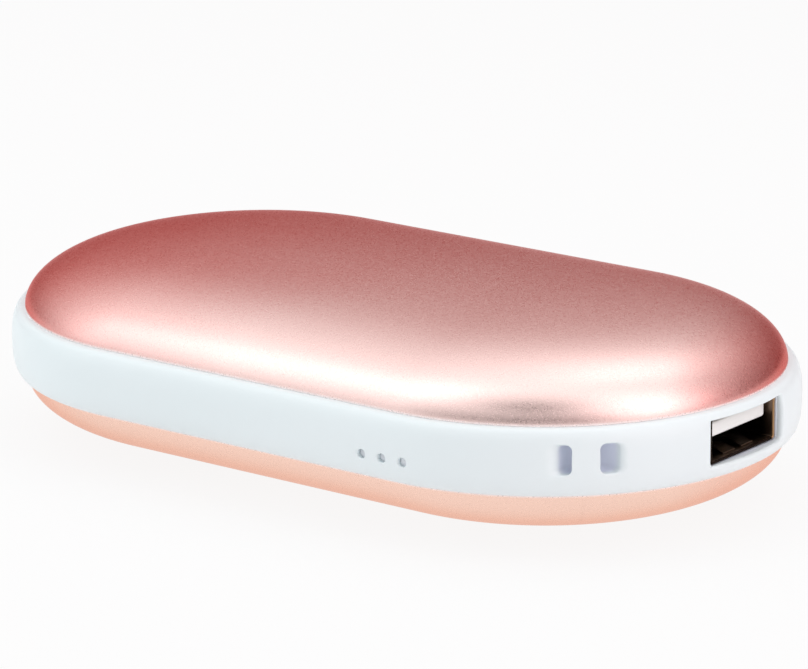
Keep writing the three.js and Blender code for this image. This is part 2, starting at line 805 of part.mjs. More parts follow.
// Board and what stands on it
add('main_board', board(), boardGreen);
boardBosses().forEach(([x, y], index) => {
  add(`board_screw_${index + 1}`, screw(x, y, boardBottom - restFit, -1), steel);
});
add('usb_a_shield', outletShield(), steel);
add('usb_a_housing', outletHousing(), tonguePlastic);
[contactOuter, contactInner, -contactInner, -contactOuter].forEach((place, index) => {
  const y = outletShift + place;
  const start = outletBack + housingDepth + restFit;
  const low = [start, y - contactWidth / 2, tongueBottom - restFit - contactWall];
  const high = [start + contactLength, y + contactWidth / 2, tongueBottom - restFit];
  add(`usb_a_contact_${index + 1}`, box(low, high), gold);
});
add('micro_usb_shield', inletShield(), steel);
add('micro_usb_tongue', inletTongue(), blackPlastic);
lampPlaces.forEach((x, index) => {
  const front = guideFace - guideWall - restFit;
  const low = [x - ledLength / 2, -front, boardTop];
  const high = [x + ledLength / 2, ledWidth - front, boardTop + ledHeight];
  add(`led_${index + 1}`, box(low, high), lampYellow);
});
add('light_guide', lightGuide(), clearGuide);
const sideX = outletBack + inductorSize[0] / 2;
const sideY = plugWidth / 2 + socketWall + partSpacing / 3;
const capacitorX = sideX - capacitorSize[0] - partSpacing / 2;
const capacitorY = outletShift - sideY - boostSize[1] - partSpacing / 2;
const inductorY = outletShift + sideY + inductorSize[1] / 2;
add('inductor', boardPart(inductorSize, sideX, inductorY, inductorEdge), blackPlastic);
add('boost_chip', boardPart(boostSize, sideX, outletShift - sideY - boostSize[1] / 2), blackPlastic);
add('capacitor_1', boardPart(capacitorSize, sideX, capacitorY), ceramic);
add('capacitor_2', boardPart(capacitorSize, capacitorX, capacitorY), ceramic);
add('charger_chip', boardPart(chargerSize, filmLeadX, leadSpread * 2), blackPlastic);
add('thermistor', boardPart(thermistorSize, filmLeadX + partSpacing, 0), ceramic);

// Button, moving inwards along -Y, and the switch that it works
add('button_cap', buttonCap(), whitePlastic);
add('switch_body', switchBody(), blackPlastic);
const plunger = roundRect(plungerWidth, plungerHeight, plungerHeight / 8);
const plungerBar = buttonBar(plunger, switchFront - plungerRoot, switchFront + plungerProud);
add('switch_plunger', plungerBar, tonguePlastic);

// Leads: from the strips and the films to the board
const solder = boardTop + restFit;
const stripFront = cellFront + 2 * restFit + stripWall;
add('positive_lead', lead([
  [stripFront, leadSpread, leadDiameter],
  [stripFront + leadDiameter, leadSpread, leadDiameter],
  [leadX, leadSpread, solder + leadDiameter],
  [leadX, leadSpread, solder],
], 10), redWire);
const stripMiddle = cellRear - restFit - stripWall / 2;
add('negative_lead', lead([
  [stripMiddle, 0, stripHeight / 2 + restFit],
  [stripMiddle, 0, leadRise - leadDiameter / 2],
  [stripMiddle + leadDiameter * 2, 0, leadRise],
  [0, 0, leadRise],
  [cellFront - leadDiameter, 0, leadRise],
  [boardBack + leadDiameter / 2, -leadSpread / 2, leadRise - leadDiameter / 2],
  [leadX, -leadSpread, leadDiameter],
  [leadX, -leadSpread, solder],
], 30), blackWire);
const filmFace = halfHeight - filmDepth - filmWall - restFit;
for (const [side, from, to] of [['upper', filmFace, solder], ['lower', -filmFace, boardBottom - restFit]]) {
  [1, -1].forEach((hand, index) => {
    const y = hand * filmLeadSpread;
    const middle = (from + to) / 2;
    add(`${side}_film_lead_${index + 1}`, lead([
      [filmLeadX, y, from],
      [filmLeadX, y, from + (middle - from) / 2],
      [filmLeadX + leadDiameter / 4, y, middle],
      [filmLeadX, y, to + (middle - to) / 2],
      [filmLeadX, y, to],
    ], 8), index ? blackWire : redWire);
  });
}

export default group;
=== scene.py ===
"""Looks of a rechargeable hand warmer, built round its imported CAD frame.

Sizes are in millimetres with heights from the mid-plane of the pebble, as in the part's source. A mesh is
turned into metres and lifted onto the floor when it is put into Blender.
"""

import logging
import math
from dataclasses import dataclass
from enum import Enum
from typing import Any, Optional, Sequence, Union

import bmesh
import bpy
import numpy as np
from mathutils import Matrix, Vector
from mathutils.geometry import delaunay_2d_cdt


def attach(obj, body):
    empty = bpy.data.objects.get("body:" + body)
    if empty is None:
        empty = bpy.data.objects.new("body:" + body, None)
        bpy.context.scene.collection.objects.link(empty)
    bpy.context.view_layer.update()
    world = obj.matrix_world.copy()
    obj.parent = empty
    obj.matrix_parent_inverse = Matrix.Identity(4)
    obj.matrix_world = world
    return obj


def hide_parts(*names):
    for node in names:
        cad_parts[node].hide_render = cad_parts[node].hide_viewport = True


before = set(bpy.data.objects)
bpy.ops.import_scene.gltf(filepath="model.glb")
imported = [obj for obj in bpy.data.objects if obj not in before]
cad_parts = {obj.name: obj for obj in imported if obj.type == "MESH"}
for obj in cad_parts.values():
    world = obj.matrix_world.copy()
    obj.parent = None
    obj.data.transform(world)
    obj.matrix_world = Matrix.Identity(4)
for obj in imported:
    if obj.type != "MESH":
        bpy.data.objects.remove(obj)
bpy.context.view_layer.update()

LOG = logging.getLogger("hand_warmer")
MILLIMETRE = 0.001
WELD = 2e-6
OUTLET_MOUTH = 52.4

Grid = tuple[np.ndarray, np.ndarray]
Colour = tuple[float, float, float]


# Form of the pebble


@dataclass(frozen=True)
class Pebble:
    """Outer form: a stadium outline, a bulging band and two elliptic domes with flat crowns."""

    half_width: float = 31.4
    straight: float = 22.6
    half_height: float = 12.2
    half_band: float = 4.16
    band_inset: float = 1.75
    band_power: float = 2.8
    dome_run: float = 19.6
    dome_power: float = 1.98
    wall_inset: float = 3.15
    sag: float = 0.3

    @property
    def quarter(self) -> float:
        """Length of a quarter circle of the outline."""
        return self.half_width * math.pi / 2

    @property
    def around(self) -> float:
        """Length of the whole outline."""
        return 4 * (self.quarter + self.straight)

    def outline(self, along: np.ndarray, inset: np.ndarray) -> np.ndarray:
        """Places on the outline drawn in by an inset.

        Formula: a radius turns about an axis. Over the round ends the angle grows with the distance
        walked, and over the straight sides the axis slides and the angle stays.

        Args:
            along: Distance walked from the outlet's end, towards the button's side.
            inset: Distance inwards from the widest outline.

        Returns:
            Places with x and y on the last axis.
        """
        quarter, side = self.quarter, 2 * self.straight
        walked = np.mod(along + quarter, self.around) - quarter
        turned = np.clip(walked, -quarter, quarter) + np.clip(walked - quarter - side, 0, 2 * quarter)
        angle = turned / self.half_width
        slid = np.clip(walked - quarter, 0, side) - np.clip(walked - 3 * quarter - side, 0, side)
        radius = self.half_width - inset
        return np.stack([self.straight - slid + radius * np.cos(angle), radius * np.sin(angle)], axis=-1)

    def band_profile(self, turn: np.ndarray) -> tuple[np.ndarray, np.ndarray]:
        """Inset and height of the band's face at an angle from -90 to 90 degrees.

        Formula: a superellipse, with cosine and sine raised to two over its power.
        """
        share = 2 / self.band_power
        inset = self.band_inset * (1 - np.abs(np.cos(turn)) ** share)
        return inset, self.half_band * np.sign(turn) * np.abs(np.sin(turn)) ** share

    def band_turn(self, height: np.ndarray) -> np.ndarray:
        """Angle on the band's face at a height."""
        share = np.clip(np.abs(height) / self.half_band, 0, 1) ** (self.band_power / 2)
        return np.sign(height) * np.arcsin(share)

    def band_radius(self, height: np.ndarray) -> np.ndarray:
        """Radius of the round end of the band's face at a height."""
        return self.half_width - self.band_profile(self.band_turn(height))[0]

    def band_place(self, along: np.ndarray, turn: np.ndarray) -> np.ndarray:
        """Place on the band's face: the outline drawn in by the superellipse."""
        inset, height = self.band_profile(turn)
        return np.concatenate([self.outline(along, inset), height[..., None]], axis=-1)

    def dome_profile(self, depth: float, steps: int) -> np.ndarray:
        """Inset and height of a cover's layer, from its rim to the middle of its flat crown.

        Formula: a quarter superellipse moved inwards along its own normal, then a flat.

        Args:
            depth: Distance of the layer below the outer face.
            steps: Steps along the curve.

        Returns:
            Rows of inset and height.
        """
        rise = self.half_height - self.half_band
        angle = np.linspace(0, math.pi / 2, 40 * steps + 1)
        share = 2 / self.dome_power
        inset = self.band_inset + self.dome_run * (1 - np.cos(angle) ** share)
        height = self.half_band + rise * np.sin(angle) ** share
        normal = np.stack([np.gradient(height), -np.gradient(inset)], axis=-1)
        normal /= np.linalg.norm(normal, axis=-1, keepdims=True)
        normal[0], normal[-1] = (1, 0), (0, -1)
        curve = (np.stack([inset, height], axis=-1) + depth * normal)[::40]
        flat = np.linspace(curve[-1, 0], self.half_width, 7)[1:]
        return np.vstack([curve, np.stack([flat, np.full(6, curve[-1, 1])], axis=-1)])

    def crowned(self, inset: np.ndarray) -> np.ndarray:
        """How far a cover lies below its flat crown where it is slightly domed.

        Formula: a parabola from the middle to the crown's edge, carried on at the same slope by a
        cubic that ends level at the seam.
        """
        flat = self.half_width - self.band_inset - self.dome_run
        share = np.clip((self.half_width - inset) / flat, 0, 1)
        run = np.clip((self.half_width - flat - inset) / self.dome_run, 0, 1)
        carried_on = (1 + 2 * run + 2 * run * self.dome_run / flat) * (1 - run) ** 2
        return self.sag * share ** 2 * carried_on

    def strike(self, start: np.ndarray, out: np.ndarray, radius: np.ndarray) -> np.ndarray:
        """Distance along the outline where lines running outwards reach a face.

        Formula: on the straight side the line meets a level, and past its end it meets a circle
        about the axis of the outlet's end.

        Args:
            start: Places inside the face, x and y on the last axis.
            out: One direction outwards, towards the outlet's end or a long side.
            radius: Radius of the face at each place.

        Returns:
            Distances walked round the outline.
        """
        offset = start - np.array([self.straight, 0.0])
        lean = offset @ out
        reach = np.sqrt(lean ** 2 - (offset ** 2).sum(-1) + radius ** 2) - lean
        hit = start + reach[:, None] * out
        side = 1.0 if out[1] > 0 else -1.0
        steep = out[1] if abs(out[1]) > 1e-6 else side * 1e-6
        flat_x = start[:, 0] + (side * radius - start[:, 1]) / steep * out[0]
        on_flat = (flat_x <= self.straight) & (abs(out[1]) > 1e-6)
        angle = np.arctan2(hit[:, 1], hit[:, 0] - self.straight)
        return np.where(on_flat, side * (self.quarter + self.straight - flat_x), angle * self.half_width)


FORM = Pebble()


# Surfaces as arrays


def woven(points: np.ndarray, closed_rows: bool = False, closed_columns: bool = False) -> Grid:
    """Quads over a grid of places.

    Args:
        points: Places as rows, columns and three numbers.
        closed_rows: Whether the last row joins the first.
        closed_columns: Whether the last column joins the first.

    Returns:
        Vertices and quads.
    """
    rows, columns = points.shape[:2]
    index = np.arange(rows * columns).reshape(rows, columns)
    if closed_rows:
        index = np.vstack([index, index[:1]])
    if closed_columns:
        index = np.hstack([index, index[:, :1]])
    quads = np.stack([index[:-1, :-1], index[:-1, 1:], index[1:, 1:], index[1:, :-1]], axis=-1)
    return points.reshape(-1, 3), quads.reshape(-1, 4)


def rounded_loop(wide: float, tall: float, radius: float, inset: float = 0.0,
                 corner: int = 8, side: int = 6) -> np.ndarray:
    """Loop of a rounded rectangle drawn in by an inset.

    Formula: four quarter circles about the corners of a smaller rectangle, with even steps between
    them. Past the corner's radius the loop stays a sharp rectangle, down to a line.

    Args:
        wide: Full width.
        tall: Full height.
        radius: Radius of the corners.
        inset: Distance that the loop is drawn in.
        corner: Steps of each corner.
        side: Steps of each side.

    Returns:
        Rows of sideways and height, running from right to top to left.
    """
    half = np.maximum(np.array([wide, tall]) / 2 - inset, 0)
    curve = min(max(radius - inset, 0), half[0], half[1])
    quarter = np.linspace(0, math.pi / 2, corner + 1)
    corners = []
    for place, sign in enumerate(((1, 1), (-1, 1), (-1, -1), (1, -1))):
        angle = quarter + place * math.pi / 2
        arc = np.stack([np.cos(angle), np.sin(angle)], axis=-1)
        corners.append(np.array(sign) * (half - curve) + curve * arc)
    share = np.linspace(0, 1, side + 1)[1:-1, None]
    pieces = []
    for place in range(4):
        end, start = corners[place][-1], corners[(place + 1) % 4][0]
        pieces += [corners[place], end + (start - end) * share]
    return np.vstack(pieces)


def distinct(loop: np.ndarray) -> np.ndarray:
    """A loop without the places that repeat the one before them."""
    return loop[np.linalg.norm(loop - np.roll(loop, 1, axis=0), axis=-1) > 1e-6]


def carried(profile: np.ndarray, wide: float, tall: float, radius: float, closed: bool = False,
            corner: int = 8, side: int = 6) -> Grid:
    """A profile carried round a rounded rectangle.

    Formula: each row of the profile is a loop drawn in by its inset, at its distance along.

    Args:
        profile: Rows of inset and distance along the axis.
        wide: Full width of the rectangle.
        tall: Full height of the rectangle.
        radius: Radius of its corners.
        closed: Whether the profile's end joins its start.
        corner: Steps of each corner.
        side: Steps of each side.

    Returns:
        Vertices as sideways, height and along, and quads.
    """
    loops = np.stack([rounded_loop(wide, tall, radius, inset, corner, side) for inset, _ in profile])
    along = np.broadcast_to(profile[:, 1][:, None, None], (*loops.shape[:2], 1))
    return woven(np.concatenate([loops, along], axis=-1), closed_rows=closed, closed_columns=True)


def block_profile(half: float, back: float, front: float, edge: float, crown: float = 0.0) -> np.ndarray:
    """Profile of a closed bar with rounded ends.

    Args:
        half: Half of the bar's smaller side, where both ends close.
        back: Distance of the back face.
        front: Distance of the middle of the front face.
        edge: Radius of the edges round both faces.
        crown: Height that the front face bulges.

    Returns:
        Rows of inset and distance along.
    """
    angle = np.linspace(0, math.pi / 2, 6)
    shoulder = front - crown
    rear = np.stack([edge * (1 - np.sin(angle)), back + edge * (1 - np.cos(angle))], axis=-1)
    fore = np.stack([edge * (1 - np.cos(angle)), shoulder - edge * (1 - np.sin(angle))], axis=-1)
    swell = np.linspace(1, 0, 7)[1:]
    face = np.stack([half - (half - edge) * swell, shoulder + crown * (1 - swell ** 2)], axis=-1)
    return np.vstack([[half, back], rear, fore, face])


def tube_profile(wall: float, back: float, front: float) -> np.ndarray:
    """Closed profile of a sheet tube with a rounded mouth, from outside to inside."""
    angle = np.linspace(0, math.pi, 7)
    lip = np.stack([wall / 2 * (1 - np.cos(angle)), front - wall / 2 * (1 - np.sin(angle))], axis=-1)
    return np.vstack([[0, back], [0, (back + front) / 2], lip, [wall, (back + front) / 2], [wall, back]])


def placed(grid: Grid, out: np.ndarray, start: Sequence[float] = (0, 0), sideways: float = 0.0,
           height: float = 0.0) -> Grid:
    """A shape of sideways, height and along turned to run out along a direction.

    Args:
        grid: Vertices and faces.
        out: Direction of the axis in plan.
        start: Place in plan that the axis starts from.
        sideways: Distance to the left of the axis.
        height: Height of the axis over the mid-plane.

    Returns:
        The same faces with their vertices in place.
    """
    points, faces = grid
    left = np.array([-out[1], out[0]])
    plan = np.asarray(start, float) + np.outer(points[:, 0] + sideways, left) + np.outer(points[:, 2], out)
    return np.column_stack([plan, points[:, 1] + height]), faces


def turned(profile: np.ndarray, x: float, y: float, steps: int = 32) -> Grid:
    """A profile of radius and height turned about an upright axis."""
    angle = np.linspace(0, 2 * math.pi, steps, endpoint=False)
    plan = np.stack([np.cos(angle), np.sin(angle)], axis=-1)[:, None] * profile[None, :, :1]
    height = np.broadcast_to(profile[None, :, 1:], (steps, len(profile), 1))
    return woven(np.concatenate([plan + (x, y), height], axis=-1), closed_rows=True)


def inside(places: np.ndarray, loop: np.ndarray) -> np.ndarray:
    """Whether each place lies within a loop, by counting the edges that a level line crosses."""
    first, second = loop, np.roll(loop, -1, axis=0)
    x, y = places[:, :1], places[:, 1:]
    spans = (first[:, 1] > y) != (second[:, 1] > y)
    rise = second[:, 1] - first[:, 1]
    level = np.where(np.abs(rise) < 1e-12, 1e-12, rise)
    cross = first[:, 0] + (y - first[:, 1]) / level * (second[:, 0] - first[:, 0])
    return (spans & (x < cross)).sum(axis=1) % 2 == 1


def pierced(columns: np.ndarray, rows: np.ndarray, holes: Sequence[np.ndarray], clear: float) -> Grid:
    """Triangles over a flat rectangle with holes, for a face that is bent afterwards.

    Args:
        columns: First coordinates of the net of places.
        rows: Second coordinates of the net.
        holes: Loops of the holes.
        clear: Distance that the net keeps from each loop.

    Returns:
        Flat places and triangles.
    """
    net = np.stack(np.meshgrid(columns, rows, indexing="ij"), axis=-1).reshape(-1, 2)
    keep = np.ones(len(net), bool)
    for loop in holes:
        gap = np.sqrt(((net[:, None] - loop[None]) ** 2).sum(-1)).min(axis=1)
        keep &= ~inside(net, loop) & (gap > clear)
    places, edges = net[keep], []
    for loop in holes:
        number = np.arange(len(loop)) + len(places)
        edges += np.stack([number, np.roll(number, -1)], axis=-1).tolist()
        places = np.vstack([places, loop])
    points, _, faces, *_ = delaunay_2d_cdt([Vector(p) for p in places.tolist()], edges, [], 0, 1e-7)
    flat, faces = np.array([tuple(p) for p in points]), np.array([f for f in faces if len(f) == 3])
    middle = flat[faces].mean(axis=1)
    drop = np.zeros(len(faces), bool)
    for loop in holes:
        drop |= inside(middle, loop)
    return flat, faces[~drop]


def outward(loop: np.ndarray) -> np.ndarray:
    """Directions square to a loop, away from its middle."""
    run = np.roll(loop, -1, axis=0) - np.roll(loop, 1, axis=0)
    square = np.stack([run[:, 1], -run[:, 0]], axis=-1)
    square /= np.maximum(np.linalg.norm(square, axis=-1, keepdims=True), 1e-9)
    area = np.sum(loop[:, 0] * np.roll(loop[:, 1], -1) - np.roll(loop[:, 0], -1) * loop[:, 1])
    return square if area > 0 else -square


# Pieces in Blender


def new_piece(name: str, grids: Sequence[Grid], material: bpy.types.Material, body: str,
              nodes: Sequence[str], crease: float = 38.0) -> bpy.types.Object:
    """Puts surfaces into one welded mesh that rides on a body and stands for CAD nodes.

    Args:
        name: Name of the piece.
        grids: Vertices in millimetres from the mid-plane, and faces.
        material: Finish of the piece.
        body: CAD body that it moves with.
        nodes: CAD nodes that it stands for.
        crease: Angle in degrees past which an edge is sharp.

    Returns:
        The new object.
    """
    mesh = bpy.data.meshes.new(name)
    places, faces, count = [], [], 0
    for points, polygons in grids:
        places.append(points)
        faces += (polygons + count).tolist()
        count += len(points)
    lifted = (np.vstack(places) + (0, 0, FORM.half_height)) * MILLIMETRE
    mesh.from_pydata(lifted.tolist(), [], faces)
    shell = bmesh.new()
    shell.from_mesh(mesh)
    bmesh.ops.remove_doubles(shell, verts=shell.verts, dist=WELD)
    bmesh.ops.dissolve_degenerate(shell, dist=WELD / 4, edges=shell.edges)
    bmesh.ops.recalc_face_normals(shell, faces=shell.faces)
    shell.to_mesh(mesh)
    loose = sum(1 for edge in shell.edges if not edge.is_manifold)
    shell.free()
    mesh.shade_smooth()
    mesh.set_sharp_from_angle(angle=math.radians(crease))
    mesh.materials.append(material)
    piece = bpy.data.objects.new(name, mesh)
    bpy.context.scene.collection.objects.link(piece)
    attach(piece, body)
    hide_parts(*nodes)
    LOG.info("%s: %d faces, %d open edges", name, len(mesh.polygons), loose)
    return piece


# Shader arithmetic


class Value:
    """A socket that carries a number and takes part in Python arithmetic."""

    def __init__(self, paint: "Paint", socket: bpy.types.NodeSocket) -> None:
        """Wraps a socket of a finish."""
        self.paint = paint
        self.socket = socket

    def _math(self, operation: str, *numbers: Union["Value", float]) -> "Value":
        """Adds a Math node over the numbers in order."""
        node = self.paint.node("ShaderNodeMath", {"operation": operation}, dict(enumerate(numbers)))
        return Value(self.paint, node.outputs[0])

    def __add__(self, other: Union["Value", float]) -> "Value":
        """Sum."""
        return self._math("ADD", self, other)

    def __sub__(self, other: Union["Value", float]) -> "Value":
        """Difference."""
        return self._math("SUBTRACT", self, other)

    def __rsub__(self, other: float) -> "Value":
        """A number less this value."""
        return self._math("SUBTRACT", other, self)

    def __mul__(self, other: Union["Value", float]) -> "Value":
        """Product."""
        return self._math("MULTIPLY", self, other)

    def __pow__(self, other: float) -> "Value":
        """Power."""
        return self._math("POWER", self, other)

    __radd__ = __add__
    __rmul__ = __mul__

    def fold(self, pitch: float) -> "Value":
        """Distance to the nearest multiple of a pitch, from nothing to half of it."""
        return self._math("PINGPONG", self, pitch / 2)

    def most(self, other: Union["Value", float]) -> "Value":
        """The larger of two numbers."""
        return self._math("MAXIMUM", self, other)

    def size(self) -> "Value":
        """The number without its sign."""
        return self._math("ABSOLUTE", self)

    def ease(self, low: float, high: float) -> "Value":
        """Smooth step from nothing at low to one at high."""
        node = self.paint.node("ShaderNodeMapRange", {"interpolation_type": "SMOOTHSTEP"},
                               {"Value": self, "From Min": low, "From Max": high})
        return Value(self.paint, node.outputs["Result"])


class Paint:
    """Node tree of one finish, with its Principled shader and the Object coordinates."""

    def __init__(self, name: str) -> None:
        """Starts a material of the given name."""
        self.material = bpy.data.materials.new(name)
        self.material.use_nodes = True
        self.tree = self.material.node_tree
        self.shader = self.tree.nodes["Principled BSDF"]
        self.place = self.node("ShaderNodeTexCoord", {}, {}).outputs["Object"]

    def node(self, kind: str, settings: dict[str, Any], sockets: dict[Any, Any]) -> bpy.types.Node:
        """Adds a node.

        Args:
            kind: Node type.
            settings: Attributes, set first.
            sockets: Values or links by socket name or number.

        Returns:
            The node.
        """
        node = self.tree.nodes.new(kind)
        for key, value in settings.items():
            setattr(node, key, value)
        for key, value in sockets.items():
            if isinstance(value, Value):
                value = value.socket
            if isinstance(value, bpy.types.NodeSocket):
                self.tree.links.new(value, node.inputs[key])
            else:
                node.inputs[key].default_value = value
        return node

    def axes(self) -> tuple[Value, Value, Value]:
        """Object coordinates in millimetres, height from the floor."""
        split = self.node("ShaderNodeSeparateXYZ", {}, {"Vector": self.place})
        x, y, z = (Value(self, socket) * 1000.0 for socket in split.outputs)
        return x, y, z

    def noise(self, size: float, detail: float = 2.0, stretch: Colour = (1, 1, 1),
              rough: float = 0.5) -> Value:
        """Soft noise from nothing to one.

        Args:
            size: Size of a blotch in millimetres.
            detail: Octaves.
            stretch: Scale of each axis, less than one where blotches run long.
            rough: Share of the finer octaves.

        Returns:
            The noise.
        """
        place = self.node("ShaderNodeMapping", {}, {"Vector": self.place, "Scale": stretch}).outputs[0]
        node = self.node("ShaderNodeTexNoise", {}, {"Vector": place, "Scale": 1 / (size * MILLIMETRE),
                                                    "Detail": detail, "Roughness": rough})
        return Value(self, node.outputs["Fac"])

    def grains(self, size: float) -> Value:
        """A random number for each grain of a size in millimetres."""
        node = self.node("ShaderNodeTexVoronoi", {}, {"Vector": self.place, "Scale": 1 / (size * MILLIMETRE)})
        split = self.node("ShaderNodeSeparateColor", {}, {"Color": node.outputs["Color"]})
        return Value(self, split.outputs[0])

    def blend(self, first: Any, second: Any, share: Value) -> bpy.types.NodeSocket:
        """Colour between two colours or colour sockets."""
        colours = [c if isinstance(c, bpy.types.NodeSocket) else (*c, 1) for c in (first, second)]
        mix = self.node("ShaderNodeMix", {"data_type": "RGBA"}, {0: share, 6: colours[0], 7: colours[1]})
        return mix.outputs[2]

    def relief(self, height: Value, depth: float, strength: float = 1.0) -> bpy.types.NodeSocket:
        """Bump from a height of nothing to one.

        Args:
            height: Height of the surface.
            depth: Real depth in millimetres of a height of one.
            strength: Strength of the bump.

        Returns:
            The bent normal.
        """
        bump = self.node("ShaderNodeBump", {}, {"Height": height, "Distance": depth * MILLIMETRE,
                                                "Strength": strength})
        return bump.outputs[0]

    def dress(self, **sockets: Any) -> bpy.types.Material:
        """Sets sockets of the shader and gives the material, underscores standing for spaces."""
        for key, value in sockets.items():
            socket = self.shader.inputs[key.replace("_", " ")]
            if isinstance(value, Value):
                value = value.socket
            if isinstance(value, bpy.types.NodeSocket):
                self.tree.links.new(value, socket)
            else:
                socket.default_value = (*value, 1) if isinstance(value, tuple) else value
        return self.material


def tone(red: int, green: int, blue: int) -> Colour:
    """Linear colour from the display values of a swatch."""
    share = np.array([red, green, blue]) / 255
    linear = np.where(share <= 0.04045, share / 12.92, ((share + 0.055) / 1.055) ** 2.4)
    return float(linear[0]), float(linear[1]), float(linear[2])


# Finishes


@dataclass(frozen=True)
class BlastedMetal:
    """Bead-blasted and anodised aluminium: fine grain in tone, gloss and relief."""

    name: str
    colour: Colour
    # Colour of the painted shade at one end and at the tips.
    painted_shade: Colour
    edge: Colour
    # Strength of the painted shade along the length and at the tips.
    drift: float = 1.0
    # Pale rim colour: painted light at the seam, against the shade in the groove by the band.
    rim: Colour = tone(255, 244, 242)
    roughness: float = 0.31
    grain: float = 0.16
    # Spans of the painted shade along the length and at the tips, and of the painted highlight on the near
    # side.
    painted_shade_sweep: tuple[float, float] = (-66.0, 22.0)
    painted_tip_shade_span: tuple[float, float] = (41.0, 55.0)
    painted_tip_shade_depth: float = 0.85
    near: tuple[float, float] = (-28.0, -8.0)
    painted_highlight_gain: float = 0.22
    seam: tuple[float, float] = (0.05, 0.4)
    seam_dull: float = 0.8
    depth: float = 0.015

    def build(self) -> bpy.types.Material:
        """Grains of slightly different tone over painted shading: the colour deepens to one end and to both
        tips as painted shade, and a paler strip along the near side is a painted highlight.

        Formula: smooth steps along the length and towards both tips, the paler strip along the near
        side, and a rim at the seam painted pale and less metallic as painted light.
        """
        paint = Paint(self.name)
        x, y, z = paint.axes()
        mottle = paint.noise(self.grain * 2.0, 2, rough=0.7)
        speck = paint.grains(self.grain)
        patch = paint.noise(16, 2) - 0.5
        # Painted shade: the colour deepens towards one end and towards both tips.
        painted_shade_sweep = (x + patch * 16.0).ease(*self.painted_shade_sweep)
        tip = (x.size() + y * 0.25 + patch * 6.0).ease(*self.painted_tip_shade_span)
        # Painted highlight: a paler strip along the near side.
        near = 1.0 - (y - x * 0.2 + patch * 8.0).ease(*self.near)
        painted_shading = painted_shade_sweep * (1.0 - tip * self.painted_tip_shade_depth) * self.drift + (1.0 - self.drift) + near * self.painted_highlight_gain
        grain = (mottle - 0.5) * 0.2 + (speck - 0.5) * 0.1
        gloss = (mottle + speck) * 0.1 + (self.roughness - 0.1)
        # Painted light: the rim at the seam is painted pale and made less metallic to lift the shade in the
        # groove.
        seam = 1.0 - ((z - FORM.half_height).size() - FORM.half_band).ease(*self.seam)
        body = paint.blend(self.painted_shade, self.colour, painted_shading + grain)
        relief = paint.relief(mottle * 0.5 + speck * 0.5, self.depth)
        return paint.dress(Base_Color=paint.blend(body, self.rim, seam), Metallic=1.0 - seam * self.seam_dull,
                           Roughness=gloss, Specular_Tint=self.edge, Normal=relief)


@dataclass(frozen=True)
class MouldedPlastic:
    """Injection-moulded plastic with a spark-eroded texture and faint flow marks."""

    name: str
    colour: Colour
    shade: Colour
    roughness: float = 0.38
    texture: float = 0.22
    depth: float = 0.004

    def build(self) -> bpy.types.Material:
        """Fine even texture in relief and gloss, with a slow drift of tone."""
        paint = Paint(self.name)
        drift = paint.noise(22, 2, stretch=(0.4, 0.4, 1)).ease(0.3, 0.7)
        fine = paint.noise(self.texture, 3, rough=0.6)
        return paint.dress(Base_Color=paint.blend(self.shade, self.colour, drift * 0.7 + fine * 0.3),
                           Roughness=fine * 0.1 + (self.roughness - 0.05),
                           Normal=paint.relief(fine, self.depth, 0.5))


@dataclass(frozen=True)
class BandPlastic:
    """White moulded plastic with a painted violet shade in its recessed places."""

    name: str = "white_band_plastic"
    colour: Colour = tone(230, 240, 243)
    shade: Colour = tone(224, 236, 239)
    # Colour of the painted shade in the recessed places.
    painted_recess_shade: Colour = tone(229, 235, 249)
    roughness: float = 0.36
    texture: float = 0.22
    depth: float = 0.004
    openings: tuple[float, float] = (2.6, 3.2)
    recessed: tuple[float, float] = (1.5, 0.5)

    def build(self) -> bpy.types.Material:
        """Fine even texture under a slow drift of tone, and a painted violet shade in the recessed places.

        Formula: a place is recessed by its distance from the core line of the outline, between the
        heights of the openings.
        """
        paint = Paint(self.name)
        x, y, z = paint.axes()
        drift = paint.noise(22, 2, stretch=(0.4, 0.4, 1)).ease(0.3, 0.7)
        fine = paint.noise(self.texture, 3, rough=0.6)
        beyond = (x.size() - FORM.straight).most(0.0)
        radius = (beyond ** 2 + y ** 2) ** 0.5
        level = 1.0 - (z - FORM.half_height).size().ease(*self.openings)
        start, end = (FORM.half_width - depth for depth in self.recessed)
        # Painted shade: places recessed between the openings' heights turn a little violet.
        painted_shade = (1.0 - radius.ease(start, end)) * level
        body = paint.blend(self.shade, self.colour, drift * 0.7 + fine * 0.3)
        return paint.dress(Base_Color=paint.blend(body, self.painted_recess_shade, painted_shade),
                           Roughness=fine * 0.1 + (self.roughness - 0.05),
                           Normal=paint.relief(fine, self.depth, 0.5))


@dataclass(frozen=True)
class RolledMetal:
    """Sheet or turned metal with rolling lines and a light tarnish."""

    name: str
    colour: Colour
    tarnish: Colour
    roughness: float = 0.28
    stretch: Colour = (0.05, 1, 1)

    def build(self) -> bpy.types.Material:
        """Long fine lines in gloss and relief, and blotches of tarnish in tone."""
        paint = Paint(self.name)
        lines = paint.noise(0.12, 3, stretch=self.stretch, rough=0.7)
        blotch = paint.noise(2.5, 3).ease(0.35, 0.75)
        return paint.dress(Base_Color=paint.blend(self.colour, self.tarnish, blotch * 0.6 + lines * 0.2),
                           Metallic=1.0, Roughness=lines * 0.16 + (self.roughness - 0.06),
                           Normal=paint.relief(lines, 0.003, 0.4))


